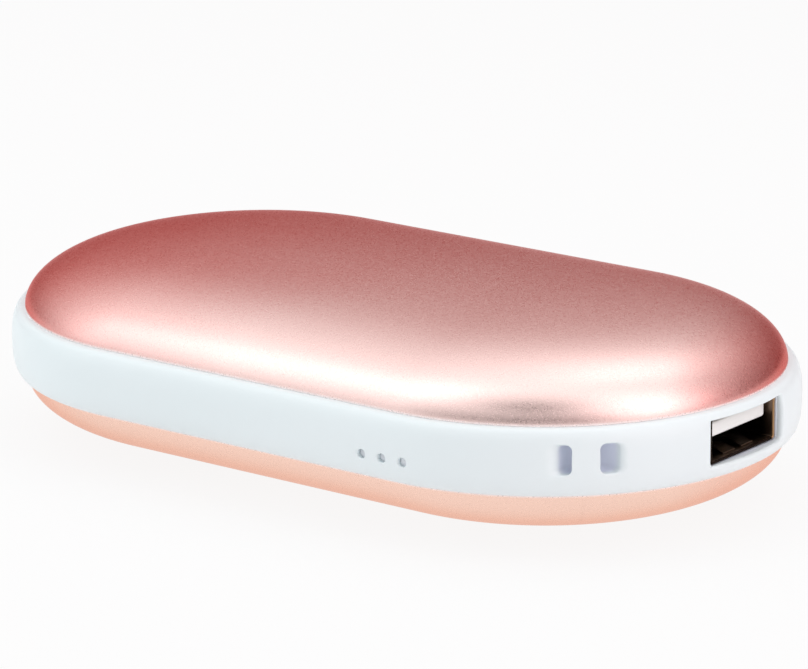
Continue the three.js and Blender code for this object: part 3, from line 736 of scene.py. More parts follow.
@dataclass(frozen=True)
class SocketSteel:
    """Plated sheet of a socket, with painted shade that darkens it further in, and a duller cut edge painted
    dark where shaded and gold where lit.
    """

    name: str = "socket_steel_painted_shade"
    colour: Colour = tone(132, 112, 96)
    # Colours of the painted shade deep inside and on the shaded cut edge, and of the painted light on the lit
    # cut edge.
    inner: Colour = tone(34, 24, 18)
    cut: Colour = tone(40, 29, 22)
    lit_cut: Colour = tone(176, 140, 104)
    mouth: float = OUTLET_MOUTH
    fade: float = 2.0
    roughness: float = 0.3

    def build(self) -> bpy.types.Material:
        """Tone that falls off with the depth behind the mouth as painted shade, and a painted lit patch on
        the upper half of the right side wall, under fine rolling lines.
        """
        paint = Paint(self.name)
        x, y, z = paint.axes()
        lines = paint.noise(0.12, 3, stretch=(0.05, 1, 1), rough=0.7)
        cloud = paint.noise(1.6, 3)
        # Painted shade: the sheet darkens with the depth behind the mouth.
        depth = (x + cloud * 1.2 - 0.6).ease(self.mouth - self.fade, self.mouth)
        # Painted light: a lighter patch on the upper half of the right side wall.
        lit = y.ease(5.0, 5.3) * z.ease(12.8, 14.6) * x.ease(self.mouth - 5, self.mouth - 2)
        sheet = paint.blend(self.inner, self.colour, (depth + lines * 0.1).most(lit))
        edge = x.ease(self.mouth - 0.25, self.mouth - 0.15)
        # Cut edge painted dark where shaded and gold where lit.
        cut = paint.blend(self.cut, self.lit_cut, y.ease(5.1, 5.4))
        return paint.dress(Base_Color=paint.blend(sheet, cut, edge), Metallic=1.0,
                           Roughness=lines * 0.14 + edge * 0.2 + (self.roughness - 0.05),
                           Normal=paint.relief(lines, 0.003, 0.4))


@dataclass(frozen=True)
class HeaterFilm:
    """Amber polyimide film with an etched resistance track that runs to and fro."""

    name: str = "amber_polyimide_film"
    pitch: float = 2.4
    track: float = 0.55
    blur: float = 0.15
    turns_at: float = 30.0
    ends_at: float = 31.0
    sides_at: float = 13.0

    def build(self) -> bpy.types.Material:
        """Tracks along the film, joined across at both ends, under a glossy film."""
        paint = Paint(self.name)
        x, y, _ = paint.axes()
        run = 1.0 - y.fold(2 * self.pitch).ease(self.track / 2, self.track / 2 + self.blur)
        turn = 1.0 - (x.size() - self.turns_at).size().ease(self.track, self.track + self.blur)
        within = 1.0 - y.size().ease(self.sides_at, self.sides_at + 0.2)
        track = run.most(turn * within) * (1.0 - x.size().ease(self.ends_at, self.ends_at + 0.2))
        haze = paint.noise(3, 3)
        film = paint.blend(tone(196, 116, 34), tone(162, 84, 22), haze)
        return paint.dress(Base_Color=paint.blend(film, tone(120, 70, 40), track),
                           Roughness=haze * 0.15 + 0.2, Normal=paint.relief(track, 0.03, 0.6))


@dataclass(frozen=True)
class FoamPad:
    """Grey closed-cell foam."""

    name: str = "grey_closed_cell_foam"

    def build(self) -> bpy.types.Material:
        """Open pores of two sizes in tone and relief."""
        paint = Paint(self.name)
        pore = paint.grains(0.45)
        fine = paint.noise(0.3, 3)
        foam = paint.blend(tone(62, 64, 68), tone(108, 110, 114), pore * 0.5 + fine * 0.5)
        return paint.dress(Base_Color=foam, Roughness=fine * 0.1 + 0.88,
                           Normal=paint.relief(pore * 0.5 + fine, 0.12, 0.8))


@dataclass(frozen=True)
class CellSleeve:
    """Shrunk sleeve of a cell, with the bare can and terminal at its ends."""

    name: str = "blue_shrink_sleeve"
    rear: float = -37.4
    front: float = 26.2

    def build(self) -> bpy.types.Material:
        """Blue film with faint draw lines along the cell, and steel past the sleeve's rims."""
        paint = Paint(self.name)
        x, _, _ = paint.axes()
        bare = (x.ease(self.front, self.front + 0.1)).most(1.0 - x.ease(self.rear - 0.1, self.rear))
        lines = paint.noise(0.5, 3, stretch=(0.03, 1, 1))
        wrap = paint.blend(tone(42, 104, 160), tone(74, 140, 194), lines)
        return paint.dress(Base_Color=paint.blend(wrap, tone(176, 178, 180), bare), Metallic=bare * 0.95,
                           Roughness=lines * 0.15 + 0.25, Normal=paint.relief(lines, 0.02, 0.5))


@dataclass(frozen=True)
class CircuitBoard:
    """Glass-fibre board under green solder mask, with its tracks showing through."""

    name: str = "green_solder_mask"

    def build(self) -> bpy.types.Material:
        """Tracks along both axes as lighter raised lines, and a weave in the bare edge."""
        paint = Paint(self.name)
        x, y, _ = paint.axes()
        region = paint.grains(7.0)
        across = 1.0 - y.fold(1.3).ease(0.14, 0.22)
        along = 1.0 - x.fold(1.7).ease(0.14, 0.22)
        pick = region.ease(0.45, 0.5)
        track = across * pick + along * (1.0 - pick)
        weave = paint.noise(0.5, 2, stretch=(1, 0.4, 2))
        mask = paint.blend(tone(18, 82, 50), tone(30, 104, 66), weave)
        return paint.dress(Base_Color=paint.blend(mask, tone(62, 140, 88), track * 0.8),
                           Roughness=weave * 0.12 + 0.3,
                           Normal=paint.relief(track * 0.8 + weave * 0.2, 0.03, 0.6))


@dataclass(frozen=True)
class WireInsulation:
    """Soft insulation of a stranded lead."""

    name: str
    colour: Colour
    shade: Colour

    def build(self) -> bpy.types.Material:
        """Dull skin with slight waves from the strands under it."""
        paint = Paint(self.name)
        wave = paint.noise(0.9, 2)
        return paint.dress(Base_Color=paint.blend(self.shade, self.colour, wave),
                           Roughness=wave * 0.15 + 0.42, Normal=paint.relief(wave, 0.03, 0.5))


@dataclass(frozen=True)
class FrostedGuide:
    """Frosted polycarbonate of the light guide, grey where it sits in the dark."""

    name: str = "frosted_light_guide"

    def build(self) -> bpy.types.Material:
        """Cloudy grey with a sanded face."""
        paint = Paint(self.name)
        cloud = paint.noise(0.35, 3)
        return paint.dress(Base_Color=paint.blend(tone(200, 206, 212), tone(228, 233, 238), cloud),
                           Roughness=cloud * 0.15 + 0.28, Normal=paint.relief(cloud, 0.01, 0.5))


class Slot(Enum):
    """Material slots, one for each finish but the socket steel."""

    UPPER_METAL = "upper_metal"
    LOWER_METAL = "lower_metal"
    WHITE_PLASTIC = "white_plastic"
    GREY_PLASTIC = "grey_plastic"
    AMBER_FILM = "amber_film"
    GREY_PAD = "grey_pad"
    CELL_SLEEVE = "cell_sleeve"
    NICKEL = "nickel"
    STEEL = "steel"
    BOARD = "board"
    BLACK_PLASTIC = "black_plastic"
    CREAM_PLASTIC = "cream_plastic"
    GOLD = "gold"
    CLEAR_GUIDE = "clear_guide"
    LED_LENS = "led_lens"
    CERAMIC = "ceramic"
    RED_WIRE = "red_wire"
    BLACK_WIRE = "black_wire"


class Finishes:
    """Every finish of the warmer, each made once."""

    def __init__(self) -> None:
        """Builds the materials by slot."""
        recipes = {
            # The covers are one metal: the upper is a deeper rose copy as painted shade, and the lower a
            # paler peach copy as painted floor light, with weaker painted shading along its length.
            Slot.UPPER_METAL: BlastedMetal("rose_gold_blasted", tone(242, 213, 208), tone(227, 140, 135),
                                           tone(236, 164, 160)),
            Slot.LOWER_METAL: BlastedMetal("rose_gold_painted_floor_light", tone(252, 214, 197), tone(243, 181, 164),
                                           tone(250, 218, 205), drift=0.4),
            Slot.WHITE_PLASTIC: BandPlastic(),
            Slot.GREY_PLASTIC: MouldedPlastic("grey_liner_plastic", tone(206, 209, 214),
                                              tone(190, 193, 199), 0.55),
            Slot.AMBER_FILM: HeaterFilm(),
            Slot.GREY_PAD: FoamPad(),
            Slot.CELL_SLEEVE: CellSleeve(),
            Slot.NICKEL: RolledMetal("nickel_strip", tone(196, 192, 182), tone(160, 152, 138), 0.34,
                                     (1, 0.05, 1)),
            Slot.STEEL: RolledMetal("plated_steel", tone(180, 176, 170), tone(112, 96, 84)),
            Slot.BOARD: CircuitBoard(),
            Slot.BLACK_PLASTIC: MouldedPlastic("black_part_plastic", tone(34, 34, 37),
                                               tone(20, 20, 22), 0.5, 0.12),
            Slot.CREAM_PLASTIC: MouldedPlastic("cream_tongue_plastic", tone(243, 246, 245),
                                               tone(234, 236, 234)),
            Slot.GOLD: RolledMetal("gold_contact_plating", tone(226, 180, 88), tone(196, 146, 70), 0.24),
            Slot.CLEAR_GUIDE: FrostedGuide(),
            Slot.LED_LENS: MouldedPlastic("yellow_lamp_lens", tone(240, 224, 150),
                                          tone(226, 200, 110), 0.25, 0.1),
            Slot.CERAMIC: MouldedPlastic("brown_ceramic", tone(172, 142, 108), tone(140, 110, 82), 0.55, 0.1),
            Slot.RED_WIRE: WireInsulation("red_wire_insulation", tone(190, 40, 34), tone(150, 26, 24)),
            Slot.BLACK_WIRE: WireInsulation("black_wire_insulation", tone(40, 40, 43), tone(24, 24, 26)),
        }
        self.materials = {slot: recipe.build() for slot, recipe in recipes.items()}
        self.socket = SocketSteel().build()

    def __getitem__(self, slot: Slot) -> bpy.types.Material:
        """Material of a slot."""
        return self.materials[slot]


# Sub-assemblies


@dataclass(frozen=True)
class Covers:
    """Upper and lower metal covers, each a bowl of even wall with a small rounded rim."""

    wall: float = 0.8
    rim: float = 0.07
    end_steps: int = 88
    side_steps: int = 20
    dome_steps: int = 40

    def profile(self) -> np.ndarray:
        """Inset and height from the inner crown, down round the rim, to the outer crown.

        Formula: two dome layers a wall apart, joined by two quarter circles and a flat.
        """
        base, rim, near = FORM.half_band, self.rim, FORM.band_inset
        outer = FORM.dome_profile(0, self.dome_steps)
        inner = FORM.dome_profile(self.wall, self.dome_steps // 2)
        angle = np.linspace(0, math.pi / 2, 5)
        flat, steep = rim * (1 - np.cos(angle)), rim * (1 - np.sin(angle))
        falling = np.stack([near + self.wall - flat, base + steep], axis=-1)
        rising = np.stack([near + steep, base + flat], axis=-1)
        clear = base + rim
        return np.vstack([inner[inner[:, 1] > clear][::-1], falling, rising, outer[outer[:, 1] > clear]])

    def shell(self, turn: int) -> Grid:
        """One cover, its profile carried round the outline.

        Args:
            turn: One for the upper cover and minus one for the lower.

        Returns:
            Vertices and quads.
        """
        quarter, side = FORM.quarter, 2 * FORM.straight
        stops = [
            np.linspace(-quarter, quarter, self.end_steps, endpoint=False),
            np.linspace(quarter, quarter + side, self.side_steps, endpoint=False),
            np.linspace(quarter + side, 3 * quarter + side, self.end_steps, endpoint=False),
            np.linspace(3 * quarter + side, FORM.around - quarter, self.side_steps, endpoint=False),
        ]
        along = np.concatenate(stops)
        profile = self.profile()
        level = turn * (profile[:, 1] - FORM.crowned(profile[:, 0]))
        plan = FORM.outline(along[:, None], profile[None, :, 0])
        height = np.broadcast_to(level[None, :, None], (*plan.shape[:2], 1))
        return woven(np.concatenate([plan, height], axis=-1), closed_rows=True)

    def build(self, finishes: Finishes) -> None:
        """Puts both covers in place."""
        sides = [("upper", 1, Slot.UPPER_METAL), ("lower", -1, Slot.LOWER_METAL)]
        for name, turn, slot in sides:
            new_piece(f"{name}_cover", [self.shell(turn)], finishes[slot], "warmer",
                      [f"{name}_shell"], 60)


@dataclass(frozen=True)
class Opening:
    """Opening that runs straight in through the band's wall, with a soft lip."""

    start: tuple[float, float]
    bearing: float
    sideways: float
    height: float
    wide: float
    tall: float
    radius: float
    lips: tuple[float, float, float, float]
    corner: int = 8
    side: int = 16
    seat: Optional[tuple[float, float, float, float]] = None
    seat_at: float = 0.0
    lip_share: float = 0.9

    @property
    def out(self) -> np.ndarray:
        """Direction outwards in plan."""
        angle = math.radians(self.bearing)
        return np.array([math.cos(angle), math.sin(angle)])

    def section(self) -> np.ndarray:
        """Loop of the opening as sideways and height."""
        loop = rounded_loop(self.wide, self.tall, self.radius, 0, self.corner, self.side)
        return distinct(loop) + (self.sideways, self.height)

    def seat_section(self) -> np.ndarray:
        """Loop of the wider seat behind the opening, or the opening's own loop."""
        if self.seat is None:
            return self.section()
        sideways, height, wide, tall = self.seat
        loop = rounded_loop(wide, tall, self.radius, 0, self.corner, self.side)
        return distinct(loop) + (sideways, height)

    def standing(self, loop: np.ndarray, along: float = 0.0) -> np.ndarray:
        """Places of a loop at a distance out along the opening's axis."""
        left = np.array([-self.out[1], self.out[0]])
        plan = np.array(self.start) + loop[:, :1] * left + along * self.out
        return np.column_stack([plan, loop[:, 1]])

    def reached(self, loop: np.ndarray, radius: np.ndarray) -> np.ndarray:
        """Loop on a face as distance along the outline and height."""
        return np.stack([FORM.strike(self.standing(loop)[:, :2], self.out, radius), loop[:, 1]], axis=-1)

    def edge(self) -> np.ndarray:
        """Loop of the opening on the band's face."""
        return self.reached(self.section(), FORM.band_radius(self.section()[:, 1]))

    def inner_edge(self) -> np.ndarray:
        """Loop of the opening on the inner wall."""
        loop = self.seat_section()
        return self.reached(loop, np.full(len(loop), FORM.half_width - FORM.wall_inset))

    def lip(self) -> np.ndarray:
        """Width of the lip round the loop, blended between its four sides."""
        return blended_lip(self.edge(), self.lips)

    def wall(self) -> list[Grid]:
        """Lip and tube from the band's face to the inner wall.

        Formula: a quarter ellipse from the face to the tube at each place of the loop, then straight,
        with a step out to the seat where there is one.
        """
        edge, lip = self.edge(), self.lip()
        rim = edge + outward(edge) * lip[:, None]
        foot = FORM.band_place(rim[:, 0], FORM.band_turn(rim[:, 1]))
        corner = FORM.band_place(edge[:, 0], FORM.band_turn(edge[:, 1]))
        inward, step = -np.append(self.out, 0), []
        room = (corner - np.append(self.start, 0)) @ -inward - self.seat_at
        low = corner + inward * np.minimum(lip, self.lip_share * room)[:, None]
        if self.seat is not None:
            step = [self.standing(loop, self.seat_at) for loop in (self.section(), self.seat_section())]
        inner = self.inner_edge()
        plan = FORM.outline(inner[:, 0], np.full(len(inner), FORM.wall_inset))
        end = np.column_stack([plan, inner[:, 1]])
        last = step[-1] if step else low
        rows = [*lip_rows(foot, corner, low), *step, last + (end - last) / 2, end]
        return [woven(np.stack(rows), False, True)]


def blended_lip(loop: np.ndarray, lips: Sequence[float]) -> np.ndarray:
    """Width of a lip at each place of a loop.

    Args:
        loop: Places as distance along and height.
        lips: Widths on the side of growing distance, the other side, the top and the bottom.

    Returns:
        Widths, weighed by the square of the outward direction.
    """
    way = outward(loop)
    along = np.where(way[:, 0] > 0, lips[0], lips[1])
    upright = np.where(way[:, 1] > 0, lips[2], lips[3])
    return along * way[:, 0] ** 2 + upright * way[:, 1] ** 2


def lip_rows(foot: np.ndarray, corner: np.ndarray, low: np.ndarray, steps: int = 6) -> list[np.ndarray]:
    """Rows of a quarter ellipse from the foot on the face round to the low end in the tube."""
    angle = np.linspace(0, math.pi / 2, steps + 1)
    return [corner + (foot - corner) * (1 - math.sin(a)) + (low - corner) * (1 - math.cos(a)) for a in angle]


@dataclass(frozen=True)
class LanyardTunnel:
    """Rounded tunnel that dips in behind a bar of the band and comes out again."""

    bearing: float = -45.1
    offset: float = 1.15
    inner: float = 2.1
    outer: float = 4.3
    tall: float = 3.6
    height: float = 0.58
    corner: float = 0.75
    backing: float = 0.8
    shares: tuple[float, float] = (1.09, 0.78)
    far_lips: tuple[float, float] = (0.8, 1.3)
    near_lip: float = 0.12
    end_lip: float = 0.22
    corner_share: float = 0.49
    sections: int = 22
    fade: float = 0.4

    @property
    def reach(self) -> float:
        """Distance of the tunnel's axis from the axis of the outlet's end."""
        return FORM.half_width + self.offset

    def section(self, share: float) -> np.ndarray:
        """Loop of the tunnel's section as distance from its axis and height.

        Args:
            share: Part of the full width that the section has, measured from the bar.

        Returns:
            Rows of distance and height.
        """
        wide = (self.outer - self.inner) * share
        loop = rounded_loop(wide, self.tall, min(self.corner, self.corner_share * wide), 0, 8, 8)
        return loop + (self.inner + wide / 2, self.height)

    def share(self, side: int) -> float:
        """Part of the full width at a slot."""
        return self.shares[0] if side > 0 else self.shares[1]

    def mouth(self, side: int) -> np.ndarray:
        """Loop of one slot on the band's face.

        Formula: the angle at the end's axis of a triangle with the face's radius, the reach and the
        distance from the tunnel's axis.

        Args:
            side: One for the slot nearer the outlet and minus one for the other.

        Returns:
            Places as distance along the outline and height.
        """
        section = self.section(self.share(side))
        radius = FORM.band_radius(section[:, 1])
        cosine = (radius ** 2 + self.reach ** 2 - section[:, 0] ** 2) / (2 * radius * self.reach)
        angle = math.radians(self.bearing) + side * np.arccos(cosine)
        return np.stack([angle * FORM.half_width, section[:, 1]], axis=-1)

    def swing(self, side: int) -> np.ndarray:
        """Angle at the tunnel's axis from its deepest place to the band's face at a slot."""
        section = self.section(self.share(side))
        radius = FORM.band_radius(section[:, 1])
        cosine = (self.reach ** 2 + section[:, 0] ** 2 - radius ** 2) / (2 * self.reach * section[:, 0])
        return np.arccos(np.clip(cosine, -1, 1))

    def place(self, swing: np.ndarray, share: float) -> np.ndarray:
        """Places of a section's loop swung by angles about the tunnel's axis."""
        section, angle = self.section(share), math.radians(self.bearing)
        middle = (FORM.straight + self.reach * math.cos(angle), self.reach * math.sin(angle))
        turn = angle + math.pi + swing
        plan = section[:, :1] * np.stack([np.cos(turn), np.sin(turn)], axis=-1) + middle
        return np.column_stack([plan, section[:, 1]])

    def lip(self, side: int) -> np.ndarray:
        """Width of a slot's lip: broad away from the bar, small beside it."""
        pair = (self.far_lips[0], self.near_lip) if side > 0 else (self.near_lip, self.far_lips[1])
        return blended_lip(self.mouth(side), (*pair, self.end_lip, self.end_lip))

    def rims(self) -> list[np.ndarray]:
        """Outer loops of both slots' lips on the band's face."""
        loops = [(self.mouth(side), self.lip(side)) for side in (1, -1)]
        return [loop + outward(loop) * lip[:, None] for loop, lip in loops]

    def wall(self) -> list[Grid]:
        """Both lips and the tunnel between them, as rows of the swung section."""
        ends = []
        for side, rim in zip((1, -1), self.rims()):
            mouth, lip, share = self.mouth(side), self.lip(side), self.share(side)
            foot = FORM.band_place(rim[:, 0], FORM.band_turn(rim[:, 1]))
            corner = FORM.band_place(mouth[:, 0], FORM.band_turn(mouth[:, 1]))
            low_swing = -side * (self.swing(side) - lip / self.section(share)[:, 0])
            ends.append((low_swing, share, lip_rows(foot, corner, self.place(low_swing, share))))
        (first, wide, first_rows), (last, slim, last_rows) = ends
        middle = [self.place(first + (last - first) * part, wide + (slim - wide) * part)
                  for part in np.linspace(0, 1, self.sections)[1:-1]]
        return [woven(np.stack([*first_rows, *middle, *last_rows[::-1]]), False, True)]

    def backing_depth(self, along: np.ndarray, height: np.ndarray) -> np.ndarray:
        """How far the inner wall bulges behind the tunnel.

        Formula: the near side of a circle about the tunnel's axis, faded out over and under it.
        """
        angle = along / FORM.half_width - math.radians(self.bearing)
        radius = self.outer + self.backing
        across = self.reach * np.sin(angle)
        chord = np.sqrt(np.maximum(radius ** 2 - across ** 2, 0))
        inner = FORM.half_width - FORM.wall_inset
        depth = np.where(np.abs(across) < radius, inner - (self.reach * np.cos(angle) - chord), 0)
        over = self.tall / 2 + self.backing - np.abs(height - self.height)
        fade = np.clip(over / self.fade, 0, 1)
        return np.where(np.abs(angle) < 1, np.maximum(depth, 0) * fade, 0)


@dataclass(frozen=True)
class Boss:
    """Round boss inside the band with a blind pilot hole."""

    x: float
    y: float
    low: float
    high: float
    wide: float = 5.0
    pilot: float = 2.1
    edge: float = 0.25
    floor: float = 1.0

    def grid(self) -> Grid:
        """Turned profile with small edges, from the foot up, over the top and down the hole."""
        low, high, edge = self.low, self.high, self.edge
        outer, inner, floor = self.wide / 2, self.pilot / 2, self.low + self.floor
        profile = np.array([
            [0, low], [outer - edge, low], [outer, low + edge], [outer, high - edge],
            [outer - edge, high], [inner + edge, high], [inner, high - edge], [inner, floor], [0, floor],
        ])
        return turned(profile, self.x, self.y)


@dataclass(frozen=True)
class Band:
    """White frame: the band's face with its openings, ledges, inner wall and bosses."""

    openings: tuple[Opening, ...]
    tunnel: LanyardTunnel
    bosses: tuple[Boss, ...]
    net: float = 0.9
    clear: float = 0.22
    turns: int = 30
    wall_rows: int = 15

    def columns(self) -> np.ndarray:
        """Distances of the net's columns, from the far end round to the far end again."""
        half = FORM.around / 2
        return np.linspace(-half, half, int(FORM.around / self.net) + 1)

    def face(self) -> Grid:
        """Band's face: a flat net with holes, bent onto the superellipse round the outline."""
        scale = 2 * FORM.half_band / math.pi
        rows = np.linspace(-math.pi / 2, math.pi / 2, self.turns + 1) * scale
        holes = [hole.edge() + outward(hole.edge()) * hole.lip()[:, None] for hole in self.openings]
        holes += self.tunnel.rims()
        flat_holes = [np.column_stack([loop[:, 0], FORM.band_turn(loop[:, 1]) * scale]) for loop in holes]
        flat, faces = pierced(self.columns(), rows, flat_holes, self.clear)
        turn = np.clip(flat[:, 1] / scale, -math.pi / 2, math.pi / 2)
        return FORM.band_place(flat[:, 0], turn), faces

    def inner_wall(self) -> Grid:
        """Upright inner wall with its holes, bulging behind the tunnel."""
        rows = np.linspace(-FORM.half_band, FORM.half_band, self.wall_rows)
        holes = [hole.inner_edge() for hole in self.openings]
        flat, faces = pierced(self.columns(), rows, holes, self.clear)
        depth = self.tunnel.backing_depth(flat[:, 0], flat[:, 1])
        plan = FORM.outline(flat[:, 0], FORM.wall_inset + depth)
        return np.column_stack([plan, flat[:, 1]]), faces

    def ledge(self, turn: int) -> Grid:
        """Flat ledge that a cover's rim stands on."""
        inset = np.array([FORM.band_inset, FORM.wall_inset])
        plan = FORM.outline(self.columns()[:, None], inset[None])
        height = np.full((*plan.shape[:2], 1), turn * FORM.half_band)
        return woven(np.concatenate([plan, height], axis=-1))

    def build(self, finishes: Finishes) -> None:
        """Welds the band and sets its bosses inside it."""
        walls = [grid for opening in self.openings for grid in opening.wall()] + self.tunnel.wall()
        grids = [self.face(), self.inner_wall(), self.ledge(1), self.ledge(-1), *walls]
        slot = Slot.WHITE_PLASTIC
        new_piece("band", grids, finishes[slot], "warmer", ["middle_frame"], 42)
        bosses = [boss.grid() for boss in self.bosses]
        new_piece("band_bosses", bosses, finishes[slot], "warmer", [], 42)


@dataclass(frozen=True)
class PowerOutlet:
    """Power outlet at the end: a sheet shield with leaf springs, its block and tongue, and contacts."""

    mouth: float = OUTLET_MOUTH
    depth: float = 14.0
    sideways: float = -1.02
    height: float = 0.58
    plug_wide: float = 12.95
    plug_tall: float = 5.12
    wall: float = 0.3
    corner: float = 0.5
    tongue_wide: float = 11.5
    tongue_tall: float = 1.84
    tongue_drop: float = 0.64
    tongue_recess: float = 0.8
    tongue_edge: float = 0.28
    tongue_crown: float = 0.04
    tongue_corner: float = 0.42
    block: float = 4.2
    block_edge: float = 0.15
    block_corner: float = 0.2
    leaf_long: float = 5.0
    leaf_wide: float = 2.4
    leaf_spread: float = 1.9
    leaf_back: float = 0.75
    leaf_rise: float = 0.5
    leaf_tip: float = 0.05
    leaf_wall: float = 0.2
    leaf_root: float = 0.75
    leaf_lean: float = 1.3
    leaf_steps: int = 24
    contact_wide: float = 1.2
    contact_long: float = 7.6
    contact_wall: float = 0.25
    contact_edge: float = 0.08
    fit: float = 0.1
    contacts: tuple[float, ...] = (3.5, 1.0, -1.0, -3.5)

    @property
    def out(self) -> np.ndarray:
        """Direction outwards."""
        return np.array([1.0, 0.0])

    def shield(self) -> Grid:
        """Sheet tube with a rounded mouth."""
        profile = tube_profile(self.wall, self.mouth - self.depth, self.mouth)
        wide, tall = self.plug_wide + 2 * self.wall, self.plug_tall + 2 * self.wall
        grid = carried(profile, wide, tall, self.corner, closed=True, side=10)
        return placed(grid, self.out, sideways=self.sideways, height=self.height)

    def leaf(self, spread: float) -> Grid:
        """Leaf spring bowed up from the shield's lower sheet, its tip a little raised.

        Formula: a strip whose middle line rises as a cosine wave plus a straight rise to the tip, and
        whose width narrows to the root.
        """
        share = np.linspace(0, 1, self.leaf_steps + 1)[:, None]
        x = self.mouth - self.leaf_back - self.leaf_long * (1 - share)
        wave = (1 - np.cos(2 * math.pi * share ** self.leaf_lean)) / 2
        bow = self.leaf_rise * wave + self.leaf_tip * share
        half = self.leaf_wide / 2 * (self.leaf_root + (1 - self.leaf_root) * share)
        y = np.array([-1, 1, 1, -1]) * half + spread + self.sideways
        height = bow + self.leaf_wall * np.array([1, 1, 0, 0]) + self.height - self.plug_tall / 2
        points = np.stack([np.broadcast_to(x, height.shape), y, height], axis=-1)
        places, quads = woven(points, closed_columns=True)
        root = np.arange(4)
        return places, np.vstack([quads, root, root + 4 * self.leaf_steps])

    def tongue(self) -> list[Grid]:
        """Moulded block at the back and the tongue that it carries."""
        back = self.mouth - self.depth + self.fit
        wide, tall = self.plug_wide - 2 * self.fit, self.plug_tall - 2 * self.fit
        front = self.mouth - self.depth + self.block
        block = carried(block_profile(tall / 2, back, front, self.block_edge), wide, tall, self.block_corner)
        middle = self.plug_tall / 2 - self.tongue_drop - self.tongue_tall / 2
        start, end = self.mouth - self.depth + self.block / 2, self.mouth - self.tongue_recess
        profile = block_profile(self.tongue_tall / 2, start, end, self.tongue_edge, self.tongue_crown)
        bar = carried(profile, self.tongue_wide, self.tongue_tall, self.tongue_corner)
        return [placed(block, self.out, sideways=self.sideways, height=self.height),
                placed(bar, self.out, sideways=self.sideways, height=self.height + middle)]

    def contact(self, place: float) -> Grid:
        """Contact strip under the tongue with rounded ends."""
        start = self.mouth - self.depth + self.block + self.fit
        profile = block_profile(self.contact_wall / 2, start, start + self.contact_long, self.contact_edge)
        drop = self.plug_tall / 2 - self.tongue_drop - self.tongue_tall - self.fit - self.contact_wall / 2
        grid = carried(profile, self.contact_wide, self.contact_wall, self.contact_edge, corner=3, side=2)
        return placed(grid, self.out, sideways=self.sideways + place, height=self.height + drop)

    def build(self, finishes: Finishes) -> None:
        """Puts the outlet's pieces in place."""
        leaves = [self.leaf(self.leaf_spread), self.leaf(-self.leaf_spread)]
        new_piece("outlet_shield", [self.shield(), *leaves], finishes.socket, "warmer",
                  ["usb_a_shield"])
        new_piece("outlet_tongue", self.tongue(), finishes[Slot.CREAM_PLASTIC], "warmer",
                  ["usb_a_housing"])
        for number, place in enumerate(self.contacts, 1):
            new_piece(f"outlet_contact_{number}", [self.contact(place)], finishes[Slot.GOLD], "warmer",
                      [f"usb_a_contact_{number}"])


@dataclass(frozen=True)
class ChargingInlet:
    """Small charging inlet on the button's side: a shield, a block and a thin tongue."""

    bearing: float
    height: float = -0.98
    wide: float = 7.5
    tall: float = 2.6
    depth: float = 5.4
    mouth: float = 30.6
    wall: float = 0.3
    block: float = 1.6
    tongue_wide: float = 3.7
    tongue_tall: float = 0.65
    tongue_recess: float = 1.1
    tongue_corner: float = 0.16
    edge: float = 0.1
    fit: float = 0.1

    def build(self, finishes: Finishes) -> None:
        """Puts the inlet's pieces in place."""
        angle = math.radians(self.bearing)
        out, start = np.array([math.cos(angle), math.sin(angle)]), (FORM.straight, 0.0)
        back, radius = self.mouth - self.depth, self.tall / 3
        tube = carried(tube_profile(self.wall, back, self.mouth), self.wide, self.tall, radius, closed=True)
        new_piece("inlet_shield", [placed(tube, out, start, height=self.height)], finishes[Slot.STEEL],
                  "warmer", ["micro_usb_shield"])
        trim = 2 * (self.wall + self.fit)
        tall = self.tall - trim
        rear = back + self.fit
        block = carried(block_profile(tall / 2, rear, rear + self.block, self.edge),
                        self.wide - trim, tall, radius - trim / 2)
        start_at, end_at = back + self.block / 2, self.mouth - self.tongue_recess
        bar = carried(block_profile(self.tongue_tall / 2, start_at, end_at, self.edge),
                      self.tongue_wide, self.tongue_tall, self.tongue_corner)
        new_piece("inlet_tongue", [placed(grid, out, start, height=self.height) for grid in (block, bar)],
                  finishes[Slot.BLACK_PLASTIC], "warmer", ["micro_usb_tongue"])


@dataclass(frozen=True)
class PowerButton:
    """Pill-shaped button in the band with its side flanges and stem."""

    x: float = 16.85
    height: float = -0.48
    long: float = 10.0
    tall: float = 3.4
    face: float = 31.2
    back: float = 27.35
    flange_long: float = 12.6
    flange_tall: float = 3.0
    flange: float = 0.8
    stem_wide: float = 3.0
    stem_tall: float = 1.6
    stem: float = 0.7
    face_edge: float = 0.35
    crown: float = 0.22
    edge: float = 0.1
    corner: float = 0.4

    def build(self, finishes: Finishes) -> None:
        """Puts the button in place, its face slightly crowned."""
        out, start = np.array([0.0, 1.0]), (self.x, 0.0)
        front = self.back + self.flange
        stem_back, stem_front = self.back - self.stem, self.back + self.flange / 2
        shapes = [
            carried(block_profile(self.tall / 2, front - self.edge, self.face, self.face_edge, self.crown),
                    self.long, self.tall, self.tall / 2, corner=16),
            carried(block_profile(self.flange_tall / 2, self.back, front, self.edge),
                    self.flange_long, self.flange_tall, self.corner),
            carried(block_profile(self.stem_tall / 2, stem_back, stem_front, self.edge),
                    self.stem_wide, self.stem_tall, self.corner),
        ]
        grids = [placed(shape, out, start, height=self.height) for shape in shapes]
        new_piece("button", grids, finishes[Slot.WHITE_PLASTIC], "power_button",
                  ["button_cap"])


